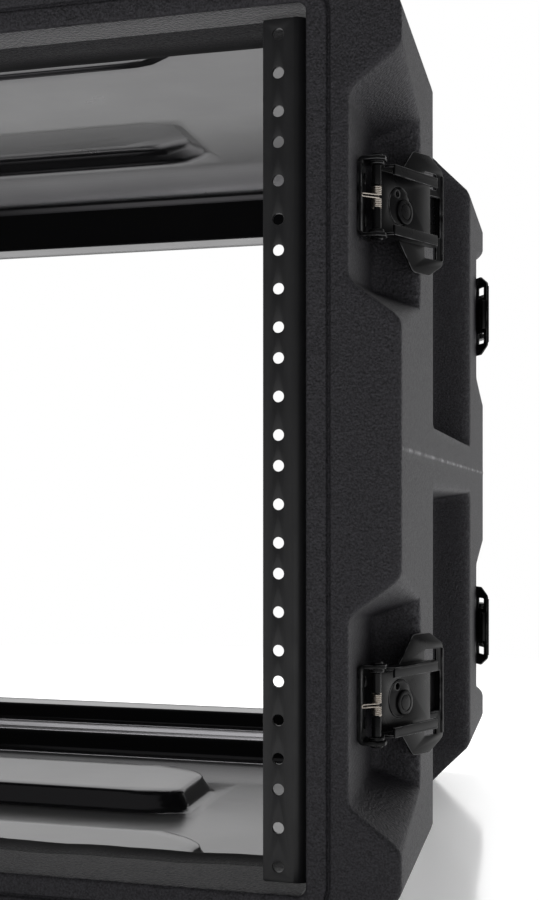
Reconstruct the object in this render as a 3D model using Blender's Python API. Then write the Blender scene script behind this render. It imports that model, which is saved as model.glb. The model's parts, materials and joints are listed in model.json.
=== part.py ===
"""An eight-unit rack case body: moulded shell, four rack rails and eight swing-arm draw latches.

Units are metres, +Z is up. The origin is the middle of the case's underside, and the front faces -Y.
"""

import math

import bmesh
import bpy
from mathutils import Vector

MM = 0.001

# Clearances
SEAT_GAP = 0.3 * MM
SLIDE_GAP = 0.3 * MM
TURN_GAP = 0.3 * MM
CUT_OVERRUN = 4.0 * MM

# Rack standard
RACK_UNITS = 8
UNIT_PITCH = 44.45 * MM
HOLES_IN_UNIT = (6.35 * MM, 22.225 * MM, 38.1 * MM)
HOLE_COLUMN_SPAN = 465.1 * MM
HOLE_DIAMETER = 4.8 * MM
HOLE_SIDES = 6

# Rails
RAIL_EDGE_TO_HOLE = 6.35 * MM
RAIL_FACE_WIDTH = 19.1 * MM
RAIL_LEG_DEPTH = 28.0 * MM
RAIL_THICKNESS = 2.0 * MM
RAIL_SETBACK = 10.0 * MM
RAIL_END_GAP = 2.8 * MM

# Shell
CASE_DEPTH = 508.0 * MM
FRAME_BORDER = 38.4 * MM
FLANGE_DEPTH = 60.0 * MM
FLANGE_THICKNESS = 5.5 * MM
END_WALL = 8.0 * MM
TROUGH_STEP = 1.0 * MM
WALL = 6.0 * MM
CORNER_CHAMFER = 41.0 * MM
BAND_LENGTH = 133.0 * MM
RECESS_DEPTH = 26.0 * MM
BRIDGE_HALF_HEIGHT = 15.5 * MM
BRIDGE_DRAFT = 4.0 * MM
LID_GROOVE_INSET = 5.9 * MM
LID_GROOVE_WIDTH = 4.3 * MM
LID_GROOVE_DEPTH = 3.0 * MM

# Raised bars on the roof, with the ceiling hollow under each: distances are from the front plane
ROOF_BAR_HEIGHT = 10.0 * MM
ROOF_BAR_DRAFT = 8.0 * MM
REAR_BAR_START = 281.0 * MM
REAR_BAR_LENGTH = 115.0 * MM
REAR_BAR_HALF_WIDTH = 116.0 * MM
FRONT_BAR_START = 59.0 * MM
FRONT_BAR_LENGTH = 124.0 * MM
FRONT_BAR_HALF_WIDTH = 175.0 * MM

# Raised pads on the floor, with the hollow in the underside below each
FLOOR_PAD_HEIGHT = 12.5 * MM
FLOOR_PAD_DRAFT = 3.0 * MM
PAD_CORNER = 22.0 * MM
REAR_PAD_START = 278.0 * MM
REAR_PAD_LENGTH = 86.0 * MM
REAR_PAD_HALF_WIDTH = 117.0 * MM
FRONT_PAD_START = 95.0 * MM
FRONT_PAD_LENGTH = 92.0 * MM
FRONT_PAD_HALF_WIDTH = 165.0 * MM

# Latch pockets: half heights at the case's end plane and at the pocket's inner end
POCKET_DEPTH = 21.0 * MM
POCKET_LENGTH = 70.0 * MM
POCKET_MOUTH_OUTER = 54.0 * MM
POCKET_MOUTH_FLOOR = 38.0 * MM
POCKET_END_OUTER = 41.0 * MM
POCKET_END_FLOOR = 34.0 * MM
LATCH_OFFSET = 105.5 * MM

# Latch base and hinge pin
AXIS_SETBACK = 28.0 * MM
AXIS_LIFT = 7.5 * MM
SHEET = 1.2 * MM
BASE_SHEET = 1.6 * MM
BASE_FRONT = 4.5 * MM
BASE_BACK = 9.0 * MM
EAR_TOP = 4.0 * MM
PIN_RADIUS = 1.4 * MM
PIN_SLEEVE_RADIUS = 1.9 * MM
PIN_CORE_RADIUS = 1.0 * MM
PIN_HEAD_RADIUS = 2.7 * MM
PIN_HEAD_HEIGHT = 1.0 * MM
PIN_SIDES = 8

# Latch arm
ARM_HALF_WIDTH = 14.8 * MM
ARM_LENGTH = 47.5 * MM
ARM_WEB_START = 7.5 * MM
ARM_WEB_DROP = 4.0 * MM
ARM_EAR_RADIUS = 3.2 * MM
ARM_FLANGE_TIP = 1.5 * MM
ARM_END_SLOPE = 3.0 * MM
ARM_BEND_STEP = 0.3 * MM

# Turn handle and its cam, counted along the arm from the hinge axis
TURN_OFFSET = 23.0 * MM
DISC_RADIUS = 8.1 * MM
CAM_RADIUS = 4.2 * MM
CAM_THROW = 2.4 * MM
CAM_PLAY = 0.75 * MM
CAP_RADIUS = 6.0 * MM
CAP_SHIFT_ALONG = 3.0 * MM
CAP_SHIFT_DOWN = 2.0 * MM
CAP_HEIGHT = 1.3 * MM
HUB_RADIUS = 7.0 * MM
HUB_HEIGHT = 2.2 * MM
WING_LENGTH = 18.0 * MM
WING_WIDTH = 5.0 * MM
WING_HEIGHT = 4.0 * MM
DISC_SIDES = 12

# Draw plate
PLATE_START = 11.0 * MM
PLATE_END = 59.7 * MM
PLATE_NECK_HALF = 13.0 * MM
PLATE_NECK_END = 24.0 * MM
PLATE_WIDE_START = 36.0 * MM
PLATE_WIDE_END = 49.0 * MM
PLATE_WIDE_HALF = 26.5 * MM
PLATE_TAIL_HALF = 21.0 * MM
PLATE_SLOT_START = 45.0 * MM
PLATE_SLOT_LENGTH = 9.5 * MM
PLATE_SLOT_LOW = 12.0 * MM
PLATE_SLOT_HEIGHT = 7.0 * MM
TAIL_SLOT_INSET = 2.2 * MM
TAIL_SLOT_LENGTH = 4.0 * MM
TAIL_SLOT_HALF = 9.0 * MM
TAIL_LIP_HEIGHT = 1.2 * MM

# Torsion spring
WIRE_DIAMETER = 0.7 * MM
COIL_RADIUS = 1.75 * MM
COIL_TURNS = 3
COIL_START = 0.6 * MM
COIL_PITCH = 1.3 * MM
POINTS_PER_TURN = 8
LOOP_REACH = 7.8 * MM
LEG_REACH = 7.6 * MM
LEG_LENGTH = 3.6 * MM
LOOP_BEND_POINTS = 5

# Finishes: colour, roughness, metallic
FINISHES = {
    "moulded_polyethylene": ((0.020, 0.020, 0.022), 0.55, 0.0),
    "powder_coated_steel": ((0.018, 0.018, 0.019), 0.42, 0.0),
    "bright_spring_wire": ((0.70, 0.69, 0.66), 0.28, 1.0),
}

# Sizes that follow from the driving dimensions
RAIL_LENGTH = RACK_UNITS * UNIT_PITCH
OPENING_HALF_HEIGHT = RAIL_LENGTH / 2 + RAIL_END_GAP
HOLE_COLUMN = HOLE_COLUMN_SPAN / 2
RAIL_INNER_EDGE = HOLE_COLUMN - RAIL_EDGE_TO_HOLE
RAIL_OUTER_EDGE = RAIL_INNER_EDGE + RAIL_FACE_WIDTH
OPENING_HALF_WIDTH = RAIL_OUTER_EDGE + SEAT_GAP
SIDE_X = OPENING_HALF_WIDTH + FRAME_BORDER
HALF_HEIGHT = OPENING_HALF_HEIGHT + FRAME_BORDER
MID_Z = HALF_HEIGHT
ROOF_Z = 2 * HALF_HEIGHT
FRONT_Y = -CASE_DEPTH / 2
RECESS_X = SIDE_X - RECESS_DEPTH
INNER_X = RECESS_X - WALL
INNER_HALF_HEIGHT = HALF_HEIGHT - WALL
INNER_CHAMFER = max(WALL, CORNER_CHAMFER - RECESS_DEPTH - (2 - math.sqrt(2)) * WALL)
POCKET_FLOOR_X = SIDE_X - POCKET_DEPTH
AXIS_X = POCKET_FLOOR_X + AXIS_LIFT
ARM_WEB_BACK = ARM_WEB_DROP + SHEET
PLATE_TOP = ARM_WEB_BACK + SLIDE_GAP
PLATE_BACK = PLATE_TOP + SHEET
EAR_INSIDE = ARM_HALF_WIDTH + SLIDE_GAP
EAR_OUTSIDE = EAR_INSIDE + BASE_SHEET
SLEEVE_END = ARM_HALF_WIDTH - SHEET - SLIDE_GAP
COIL_END = COIL_START + COIL_TURNS * COIL_PITCH
CORE_HALF = COIL_END + WIRE_DIAMETER / 2 + SLIDE_GAP
YOKE_CENTRE = TURN_OFFSET + CAM_THROW
YOKE_HALF_LENGTH = CAM_RADIUS + CAM_PLAY
YOKE_HALF_HEIGHT = CAM_RADIUS + CAM_THROW + CAM_PLAY

# The folded arm leans out just far enough for the draw plate to rest on the pocket's inner edge
EDGE_OUT = SIDE_X - AXIS_X
EDGE_ALONG = POCKET_LENGTH - AXIS_SETBACK
EDGE_REACH = math.hypot(EDGE_OUT, EDGE_ALONG)
REST_LEAN = math.atan2(EDGE_OUT, EDGE_ALONG) + math.asin((PLATE_BACK + SEAT_GAP) / EDGE_REACH)

# Facets of round pieces meet at up to an eighth of a turn
ROUND_SHADE_ANGLE = math.radians(46.0)

SIDES = {"right": 1, "left": -1}
ENDS = {"front": -1, "rear": 1}
LEVELS = {"upper": 1, "lower": -1}


# Mesh helpers

def solid_between(lower, upper):
    """A closed solid whose two end faces are the given rings of points."""
    mesh = bmesh.new()
    low = [mesh.verts.new(point) for point in lower]
    high = [mesh.verts.new(point) for point in upper]
    count = len(low)
    mesh.faces.new(low)
    mesh.faces.new(high)
    for i in range(count):
        j = (i + 1) % count
        mesh.faces.new((low[i], low[j], high[j], high[i]))
    bmesh.ops.recalc_face_normals(mesh, faces=mesh.faces)
    return mesh


def box_solid(low, high):
    """A closed box between two opposite corners."""
    (x0, y0, z0), (x1, y1, z1) = low, high
    ring = ((x0, y0), (x1, y0), (x1, y1), (x0, y1))
    return solid_between([(x, y, z0) for x, y in ring], [(x, y, z1) for x, y in ring])


def regular_ring(radius, sides, centre=(0.0, 0.0)):
    """Corners of a regular polygon with the given corner radius."""
    angles = [2 * math.pi * (i + 0.5) / sides for i in range(sides)]
    return [(centre[0] + radius * math.cos(a), centre[1] + radius * math.sin(a)) for a in angles]


def bore_radius(radius, clearance, sides):
    """Corner radius of a polygonal bore whose flats clear a pin of the given radius."""
    return (radius + clearance) / math.cos(math.pi / sides)


def new_object(name, mesh, origin=(0.0, 0.0, 0.0)):
    """Link a mesh, given in world coordinates, as an object with its origin at the given point."""
    bmesh.ops.translate(mesh, verts=mesh.verts, vec=-Vector(origin))
    data = bpy.data.meshes.new(name)
    mesh.to_mesh(data)
    mesh.free()
    item = bpy.data.objects.new(name, data)
    item.location = origin
    bpy.context.scene.collection.objects.link(item)
    return item


def combine(target, tool_mesh, operation):
    """Join a solid to an object, or cut it away, and keep the result as the object's own mesh."""
    tool = new_object("tool", tool_mesh)
    modifier = target.modifiers.new("combine", "BOOLEAN")
    modifier.object = tool
    modifier.operation = operation
    modifier.solver = "EXACT"
    bpy.context.view_layer.update()
    depsgraph = bpy.context.evaluated_depsgraph_get()
    result = bpy.data.meshes.new_from_object(target.evaluated_get(depsgraph))
    target.modifiers.remove(modifier)
    target.data = result
    bpy.data.objects.remove(tool)


def cut(target, *tools):
    for tool in tools:
        combine(target, tool, "DIFFERENCE")


def join(target, *tools):
    for tool in tools:
        combine(target, tool, "UNION")


def merge_flat_faces(item):
    """Dissolve the edges that booleans leave between faces in one plane."""
    mesh = bmesh.new()
    mesh.from_mesh(item.data)
    bmesh.ops.remove_doubles(mesh, verts=mesh.verts, dist=0.001 * MM)
    bmesh.ops.dissolve_limit(mesh, angle_limit=math.radians(0.1), verts=mesh.verts, edges=mesh.edges)
    mesh.to_mesh(item.data)
    mesh.free()


def finish(item, finish_name):
    """Give an object its own material with the named finish."""
    colour, roughness, metallic = FINISHES[finish_name]
    material = bpy.data.materials.new(item.name + "_" + finish_name)
    material.use_nodes = True
    shader = material.node_tree.nodes["Principled BSDF"]
    shader.inputs["Base Color"].default_value = (*colour, 1.0)
    shader.inputs["Roughness"].default_value = roughness
    shader.inputs["Metallic"].default_value = metallic
    item.data.materials.clear()
    item.data.materials.append(material)


def shade_round(item):
    """Smooth the facets of a turned piece and keep its steps sharp."""
    item.data.shade_smooth()
    item.data.set_sharp_from_angle(angle=ROUND_SHADE_ANGLE)


def from_end(end, distance):
    """Y of a point at a distance inwards from the front (-1) or rear (+1) plane."""
    return end * (CASE_DEPTH / 2 - distance)


# Shell

def tapered_pad(half_width, start, length, low_z, high_z, low_draft, high_draft):
    """A long pad with cut corners, drawn in by a draft at its lower and upper faces."""
    def ring(draft, z):
        x = half_width - draft
        y0 = FRONT_Y + start + draft
        y1 = FRONT_Y + start + length - draft
        c = PAD_CORNER
        corners = ((x - c, y0), (x, y0 + c), (x, y1 - c), (x - c, y1),
                   (c - x, y1), (-x, y1 - c), (-x, y0 + c), (c - x, y0))
        return [(px, py, z) for px, py in corners]
    return solid_between(ring(low_draft, low_z), ring(high_draft, high_z))


def cut_rectangle(x, z, c, y):
    """An outline seen from the front: a rectangle about mid-height with its four corners cut."""
    corners = ((x, z - c), (x - c, z), (c - x, z), (-x, z - c),
               (-x, c - z), (c - x, -z), (x - c, -z), (x, c - z))
    return [(px, y, MID_Z + pz) for px, pz in corners]


def cavity_object():
    """The space inside: a room with hollows in its ceiling, pads on its floor and troughs behind its flanges."""
    ends = [from_end(end, FLANGE_DEPTH) for end in ENDS.values()]
    rings = [cut_rectangle(INNER_X, INNER_HALF_HEIGHT, INNER_CHAMFER, y) for y in ends]
    room = new_object("cavity", solid_between(*rings))
    for end in ENDS.values():
        for level in LEVELS.values():
            join(room, flange_trough(end, level))
    ceiling = ROOF_Z - WALL
    for half_width, start, length in roof_bars():
        join(room, tapered_pad(half_width - WALL, start + WALL, length - 2 * WALL,
                               ceiling - CUT_OVERRUN, ceiling + ROOF_BAR_HEIGHT, 0.0, ROOF_BAR_DRAFT))
    for half_width, start, length in floor_pads():
        cut(room, tapered_pad(half_width, start, length,
                              WALL - CUT_OVERRUN, WALL + FLOOR_PAD_HEIGHT, 0.0, FLOOR_PAD_DRAFT))
    return room


def flange_trough(end, level):
    """The space between the roof or the floor and the flange that runs in from an opening's edge."""
    half_width = OPENING_HALF_WIDTH - WALL
    ys = sorted((from_end(end, END_WALL), from_end(end, FLANGE_DEPTH + CUT_OVERRUN)))
    near_z = MID_Z + level * (OPENING_HALF_HEIGHT + FLANGE_THICKNESS)
    far_z = MID_Z + level * (INNER_HALF_HEIGHT - TROUGH_STEP)
    zs = sorted((near_z, far_z))
    return box_solid((-half_width, ys[0], zs[0]), (half_width, ys[1], zs[1]))


def roof_bars():
    return ((REAR_BAR_HALF_WIDTH, REAR_BAR_START, REAR_BAR_LENGTH),
            (FRONT_BAR_HALF_WIDTH, FRONT_BAR_START, FRONT_BAR_LENGTH))


def floor_pads():
    return ((REAR_PAD_HALF_WIDTH, REAR_PAD_START, REAR_PAD_LENGTH),
            (FRONT_PAD_HALF_WIDTH, FRONT_PAD_START, FRONT_PAD_LENGTH))


def side_recess(side, level):
    """The hand recess above or below the bridge, from one band to the other."""
    inner_z = BRIDGE_HALF_HEIGHT + BRIDGE_DRAFT
    slope = BRIDGE_DRAFT / RECESS_DEPTH
    outer_z = BRIDGE_HALF_HEIGHT - slope * CUT_OVERRUN
    top = HALF_HEIGHT + ROOF_BAR_HEIGHT + CUT_OVERRUN
    over_x = SIDE_X + CUT_OVERRUN
    outline = ((RECESS_X, inner_z), (over_x, outer_z), (over_x, top), (RECESS_X, top))
    rings = []
    for end in ENDS.values():
        y = from_end(end, BAND_LENGTH)
        rings.append([(side * x, y, MID_Z + level * z) for x, z in outline])
    return solid_between(*rings)


def latch_pocket(side, end, level):
    """A pocket open to the case's end plane, drawn in towards its floor and towards its inner end."""
    rings = []
    for distance in (-CUT_OVERRUN, POCKET_LENGTH):
        share = distance / POCKET_LENGTH
        outer = POCKET_MOUTH_OUTER + share * (POCKET_END_OUTER - POCKET_MOUTH_OUTER)
        floor = POCKET_MOUTH_FLOOR + share * (POCKET_END_FLOOR - POCKET_MOUTH_FLOOR)
        over = outer + (outer - floor) * CUT_OVERRUN / POCKET_DEPTH
        outline = ((POCKET_FLOOR_X, -floor), (SIDE_X + CUT_OVERRUN, -over),
                   (SIDE_X + CUT_OVERRUN, over), (POCKET_FLOOR_X, floor))
        y = from_end(end, distance)
        rings.append([(side * x, y, MID_Z + level * LATCH_OFFSET + z) for x, z in outline])
    return solid_between(*rings)


def band_hollow(side, end):
    """The hollow inside a band, between its latch pockets and the hand recess."""
    half = HALF_HEIGHT - CORNER_CHAMFER - WALL
    y0 = from_end(end, POCKET_LENGTH + WALL)
    y1 = from_end(end, BAND_LENGTH - WALL)
    x0 = side * (INNER_X - CUT_OVERRUN)
    x1 = side * (SIDE_X - WALL)
    return box_solid((min(x0, x1), min(y0, y1), MID_Z - half), (max(x0, x1), max(y0, y1), MID_Z + half))


def lid_groove(shell, end):
    """A groove round the opening that takes a lid's tongue: a wide slab with its middle left standing."""
    inner = LID_GROOVE_INSET
    outer = LID_GROOVE_INSET + LID_GROOVE_WIDTH
    floor_y = from_end(end, LID_GROOVE_DEPTH)
    over_y = from_end(end, -CUT_OVERRUN)
    y0, y1 = min(floor_y, over_y), max(floor_y, over_y)
    wide = OPENING_HALF_WIDTH + outer
    tall = OPENING_HALF_HEIGHT + outer
    ring = new_object("groove", box_solid((-wide, y0, MID_Z - tall), (wide, y1, MID_Z + tall)))
    wide = OPENING_HALF_WIDTH + inner
    tall = OPENING_HALF_HEIGHT + inner
    cut(ring, box_solid((-wide, y0 - CUT_OVERRUN, MID_Z - tall), (wide, y1 + CUT_OVERRUN, MID_Z + tall)))
    take_away(shell, ring)


def take_away(target, tool):
    """Cut a finished object out of another and remove it."""
    mesh = bmesh.new()
    mesh.from_mesh(tool.data)
    bpy.data.objects.remove(tool)
    cut(target, mesh)


def build_shell():
    rings = [cut_rectangle(SIDE_X, HALF_HEIGHT, CORNER_CHAMFER, y) for y in (FRONT_Y, -FRONT_Y)]
    shell = new_object("shell", solid_between(*rings))
    for half_width, start, length in roof_bars():
        join(shell, tapered_pad(half_width, start, length,
                                ROOF_Z - CUT_OVERRUN, ROOF_Z + ROOF_BAR_HEIGHT, 0.0, ROOF_BAR_DRAFT))
    for half_width, start, length in floor_pads():
        cut(shell, tapered_pad(half_width - WALL, start + WALL, length - 2 * WALL,
                               -CUT_OVERRUN, FLOOR_PAD_HEIGHT, 0.0, FLOOR_PAD_DRAFT))
    take_away(shell, cavity_object())
    low = (-OPENING_HALF_WIDTH, FRONT_Y - CUT_OVERRUN, MID_Z - OPENING_HALF_HEIGHT)
    high = (OPENING_HALF_WIDTH, CUT_OVERRUN - FRONT_Y, MID_Z + OPENING_HALF_HEIGHT)
    cut(shell, box_solid(low, high))
    for side in SIDES.values():
        for level in LEVELS.values():
            cut(shell, side_recess(side, level))
        for end in ENDS.values():
            cut(shell, band_hollow(side, end))
            for level in LEVELS.values():
                cut(shell, latch_pocket(side, end, level))
    for end in ENDS.values():
        lid_groove(shell, end)
    merge_flat_faces(shell)
    finish(shell, "moulded_polyethylene")


# Rails

def build_rail(end_name, side_name):
    """An angle rail: a drilled face towards the case's end and a leg back along the frame."""
    end = ENDS[end_name]
    side = SIDES[side_name]
    inner, outer, sheet = RAIL_INNER_EDGE, RAIL_OUTER_EDGE, RAIL_THICKNESS
    face, back = RAIL_SETBACK, RAIL_SETBACK + RAIL_LEG_DEPTH
    section = ((inner, face), (outer, face), (outer, back), (outer - sheet, back),
               (outer - sheet, face + sheet), (inner, face + sheet))
    rings = []
    for z in (MID_Z - RAIL_LENGTH / 2, MID_Z + RAIL_LENGTH / 2):
        rings.append([(side * x, from_end(end, d), z) for x, d in section])
    rail = new_object(end_name + "_" + side_name + "_rail", solid_between(*rings))
    drill = bmesh.new()
    for unit in range(RACK_UNITS):
        for offset in HOLES_IN_UNIT:
            z = MID_Z - RAIL_LENGTH / 2 + unit * UNIT_PITCH + offset
            ring = regular_ring(HOLE_DIAMETER / 2, HOLE_SIDES, (side * HOLE_COLUMN, z))
            near = from_end(end, face - sheet)
            far = from_end(end, face + 2 * sheet)
            one = solid_between([(x, near, z) for x, z in ring], [(x, far, z) for x, z in ring])
            add_mesh(drill, one)
    cut(rail, drill)
    merge_flat_faces(rail)
    finish(rail, "powder_coated_steel")


def add_mesh(target, part):
    """Copy one mesh into another."""
    data = bpy.data.meshes.new("copy")
    part.to_mesh(data)
    part.free()
    target.from_mesh(data)
    bpy.data.meshes.remove(data)


# Latches

class Latch:
    """One latch's place: along the arm (u), out from the case (v) and along the pin (w), from the hinge axis.

    All eight latches are the same part, turned and never mirrored, so w points up or down by turns.
    """

    def __init__(self, end_name, side_name, level_name):
        self.name = end_name + "_" + side_name + "_" + level_name
        self.end = ENDS[end_name]
        self.side = SIDES[side_name]
        z = MID_Z + LEVELS[level_name] * LATCH_OFFSET
        self.axis = Vector((self.side * AXIS_X, from_end(self.end, AXIS_SETBACK), z))
        self.out = Vector((self.side, 0.0, 0.0))
        self.inward = Vector((0.0, -self.end, 0.0))
        self.pin_way = Vector((0.0, 0.0, -self.side * self.end))
        self.along = math.sin(REST_LEAN) * self.out + math.cos(REST_LEAN) * self.inward
        self.away = math.cos(REST_LEAN) * self.out - math.sin(REST_LEAN) * self.inward
        self.turn_centre = self.at(TURN_OFFSET, -PLATE_BACK, 0.0)
        self.hinge = bpy.data.objects.new(self.name + "_hinge", None)
        self.hinge.location = self.axis
        bpy.context.scene.collection.objects.link(self.hinge)

    def at(self, u, v, w):
        """A point in the folded arm's own directions."""
        return self.axis + u * self.along + v * self.away + w * self.pin_way

    def square(self, out, inward, w):
        """A point in the pocket's own directions, out from the case and in from its end."""
        return self.axis + out * self.out + inward * self.inward + w * self.pin_way

    def slab(self, outline, v0, v1):
        """An outline drawn on the arm's face (u, w), with a thickness from v0 to v1."""
        rings = [[self.at(u, v, w) for u, w in outline] for v in (v0, v1)]
        return solid_between(*rings)

    def side_slab(self, outline, w0, w1):
        """An outline drawn on the arm's side (u, v), with a thickness from w0 to w1."""
        rings = [[self.at(u, v, w) for u, v in outline] for w in (w0, w1)]
        return solid_between(*rings)

    def disc(self, radius, sides, u, w, v0, v1):
        return self.slab(regular_ring(radius, sides, (u, w)), v0, v1)

    def carry(self, item):
        """Hang a moving piece on the latch's hinge empty, where it stands."""
        bpy.context.view_layer.update()
        item.parent = self.hinge
        item.matrix_parent_inverse = self.hinge.matrix_world.inverted()


def rectangle(u0, u1, w0, w1):
    return ((u0, w0), (u1, w0), (u1, w1), (u0, w1))


def build_base(latch):
    """A folded bracket on the pocket's floor, with an ear at each end that holds the pin."""
    floor = SEAT_GAP - AXIS_LIFT
    sheet = floor + BASE_SHEET
    section = ((floor, -EAR_OUTSIDE), (floor, EAR_OUTSIDE), (EAR_TOP, EAR_OUTSIDE), (EAR_TOP, EAR_INSIDE),
               (sheet, EAR_INSIDE), (sheet, -EAR_INSIDE), (EAR_TOP, -EAR_INSIDE), (EAR_TOP, -EAR_OUTSIDE))
    rings = []
    for inward in (-BASE_FRONT, BASE_BACK):
        rings.append([latch.square(out, inward, w) for out, w in section])
    base = new_object(latch.name + "_latch_base", solid_between(*rings), latch.axis)
    bore = regular_ring(bore_radius(PIN_RADIUS, TURN_GAP, PIN_SIDES), PIN_SIDES)
    reach = EAR_OUTSIDE + CUT_OVERRUN
    cut(base, latch.side_slab(bore, -reach, reach))
    merge_flat_faces(base)
    finish(base, "powder_coated_steel")


def build_pin(latch):
    """A stepped pin: heads outside the ears, a sleeve on each side and a slim core under the spring."""
    head = EAR_OUTSIDE + SLIDE_GAP
    steps = ((-head - PIN_HEAD_HEIGHT, PIN_HEAD_RADIUS), (-head, PIN_HEAD_RADIUS), (-head, PIN_RADIUS),
             (-SLEEVE_END, PIN_RADIUS), (-SLEEVE_END, PIN_SLEEVE_RADIUS), (-CORE_HALF, PIN_SLEEVE_RADIUS),
             (-CORE_HALF, PIN_CORE_RADIUS))
    steps = steps + tuple((-w, radius) for w, radius in reversed(steps))
    mesh = bmesh.new()
    rings = []
    for w, radius in steps:
        rings.append([mesh.verts.new(latch.at(u, v, w)) for u, v in regular_ring(radius, PIN_SIDES)])
    mesh.faces.new(rings[0])
    mesh.faces.new(rings[-1])
    for low, high in zip(rings, rings[1:]):
        for i in range(PIN_SIDES):
            j = (i + 1) % PIN_SIDES
            mesh.faces.new((low[i], low[j], high[j], high[i]))
    bmesh.ops.recalc_face_normals(mesh, faces=mesh.faces)
    pin = new_object(latch.name + "_hinge_pin", mesh, latch.axis)
    shade_round(pin)
    finish(pin, "powder_coated_steel")


def build_arm(latch):
    """A channel: a web near the case, with a flange along each edge that runs on to an ear on the pin."""
    web_half = ARM_HALF_WIDTH - SHEET / 2
    web = rectangle(ARM_WEB_START, ARM_LENGTH - ARM_BEND_STEP, -web_half, web_half)
    arm = new_object(latch.name + "_latch_arm", latch.slab(web, -ARM_WEB_BACK, -ARM_WEB_DROP), latch.axis)
    ear = ARM_EAR_RADIUS
    flange_back = ARM_BEND_STEP - ARM_WEB_BACK
    flange = ((-ear, -ear / 2), (-ear, ear / 2), (-ear / 2, ear), (ear, ear),
              (ARM_LENGTH - ARM_END_SLOPE, ARM_FLANGE_TIP), (ARM_LENGTH, ARM_FLANGE_TIP - ARM_END_SLOPE),
              (ARM_LENGTH, flange_back), (ARM_WEB_START - ARM_BEND_STEP, flange_back),
              (ear / 2, -ear), (-ear / 2, -ear))
    for edge in (-1, 1):
        inner = edge * (ARM_HALF_WIDTH - SHEET)
        join(arm, latch.side_slab(flange, inner, edge * ARM_HALF_WIDTH))
    bore = regular_ring(bore_radius(PIN_RADIUS, TURN_GAP, PIN_SIDES), PIN_SIDES)
    reach = ARM_HALF_WIDTH + CUT_OVERRUN
    cut(arm, latch.side_slab(bore, -reach, reach))
    window = bore_radius(DISC_RADIUS, TURN_GAP, DISC_SIDES)
    cut(arm, latch.disc(window, DISC_SIDES, TURN_OFFSET, 0.0, -ARM_WEB_BACK - SHEET, -ARM_WEB_DROP + SHEET))
    merge_flat_faces(arm)
    latch.carry(arm)
    finish(arm, "powder_coated_steel")


def build_draw_plate(latch):
    """A shield-shaped plate under the arm's web: a yoke for the cam, three slots and a lip that hooks a lid."""
    half = ((PLATE_START, PLATE_NECK_HALF), (PLATE_NECK_END, PLATE_NECK_HALF),
            (PLATE_WIDE_START, PLATE_WIDE_HALF), (PLATE_WIDE_END, PLATE_WIDE_HALF),
            (PLATE_END, PLATE_TAIL_HALF))
    outline = half + tuple((u, -w) for u, w in reversed(half))
    sheet = latch.slab(outline, -PLATE_BACK, -PLATE_TOP)
    plate = new_object(latch.name + "_draw_plate", sheet, latch.turn_centre)
    lip = rectangle(PLATE_END - SHEET, PLATE_END, -PLATE_TAIL_HALF, PLATE_TAIL_HALF)
    join(plate, latch.slab(lip, -PLATE_BACK, TAIL_LIP_HEIGHT - PLATE_TOP))
    tail = PLATE_END - TAIL_SLOT_INSET
    slot_end = PLATE_SLOT_START + PLATE_SLOT_LENGTH
    slot_top = PLATE_SLOT_LOW + PLATE_SLOT_HEIGHT
    yoke_start = YOKE_CENTRE - YOKE_HALF_LENGTH
    yoke_end = YOKE_CENTRE + YOKE_HALF_LENGTH
    windows = (
        rectangle(yoke_start, yoke_end, -YOKE_HALF_HEIGHT, YOKE_HALF_HEIGHT),
        rectangle(tail - TAIL_SLOT_LENGTH, tail, -TAIL_SLOT_HALF, TAIL_SLOT_HALF),
        rectangle(PLATE_SLOT_START, slot_end, -slot_top, -PLATE_SLOT_LOW),
        rectangle(PLATE_SLOT_START, slot_end, PLATE_SLOT_LOW, slot_top),
    )
    for window in windows:
        cut(plate, latch.slab(window, -PLATE_BACK - SHEET, SHEET - PLATE_TOP))
    merge_flat_faces(plate)
    latch.carry(plate)
    finish(plate, "powder_coated_steel")


def build_turn_handle(latch):
    """A wing and hub under the plate, an eccentric cam in its yoke, a disc in the arm and an outer cap."""
    lap = SHEET / 4
    hub_top = -PLATE_BACK - SLIDE_GAP
    hub_back = hub_top - HUB_HEIGHT
    disc_back = -PLATE_TOP + SLIDE_GAP
    cap_back = -ARM_WEB_DROP + SLIDE_GAP
    wing_start = TURN_OFFSET - WING_WIDTH / 2
    wing = rectangle(wing_start, wing_start + WING_WIDTH, -WING_LENGTH / 2, WING_LENGTH / 2)
    hub = latch.disc(HUB_RADIUS, DISC_SIDES, TURN_OFFSET, 0.0, hub_back, hub_top)
    handle = new_object(latch.name + "_turn_handle", hub, latch.turn_centre)
    join(
        handle,
        latch.slab(wing, hub_back - WING_HEIGHT, hub_back + lap),
        latch.disc(CAM_RADIUS, DISC_SIDES, TURN_OFFSET + CAM_THROW, 0.0, hub_top - lap, disc_back + lap),
        latch.disc(DISC_RADIUS, DISC_SIDES, TURN_OFFSET, 0.0, disc_back, cap_back + lap),
        latch.disc(CAP_RADIUS, DISC_SIDES, TURN_OFFSET + CAP_SHIFT_ALONG, -CAP_SHIFT_DOWN,
                   cap_back, cap_back + CAP_HEIGHT),
    )
    merge_flat_faces(handle)
    shade_round(handle)
    latch.carry(handle)
    finish(handle, "powder_coated_steel")


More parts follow.
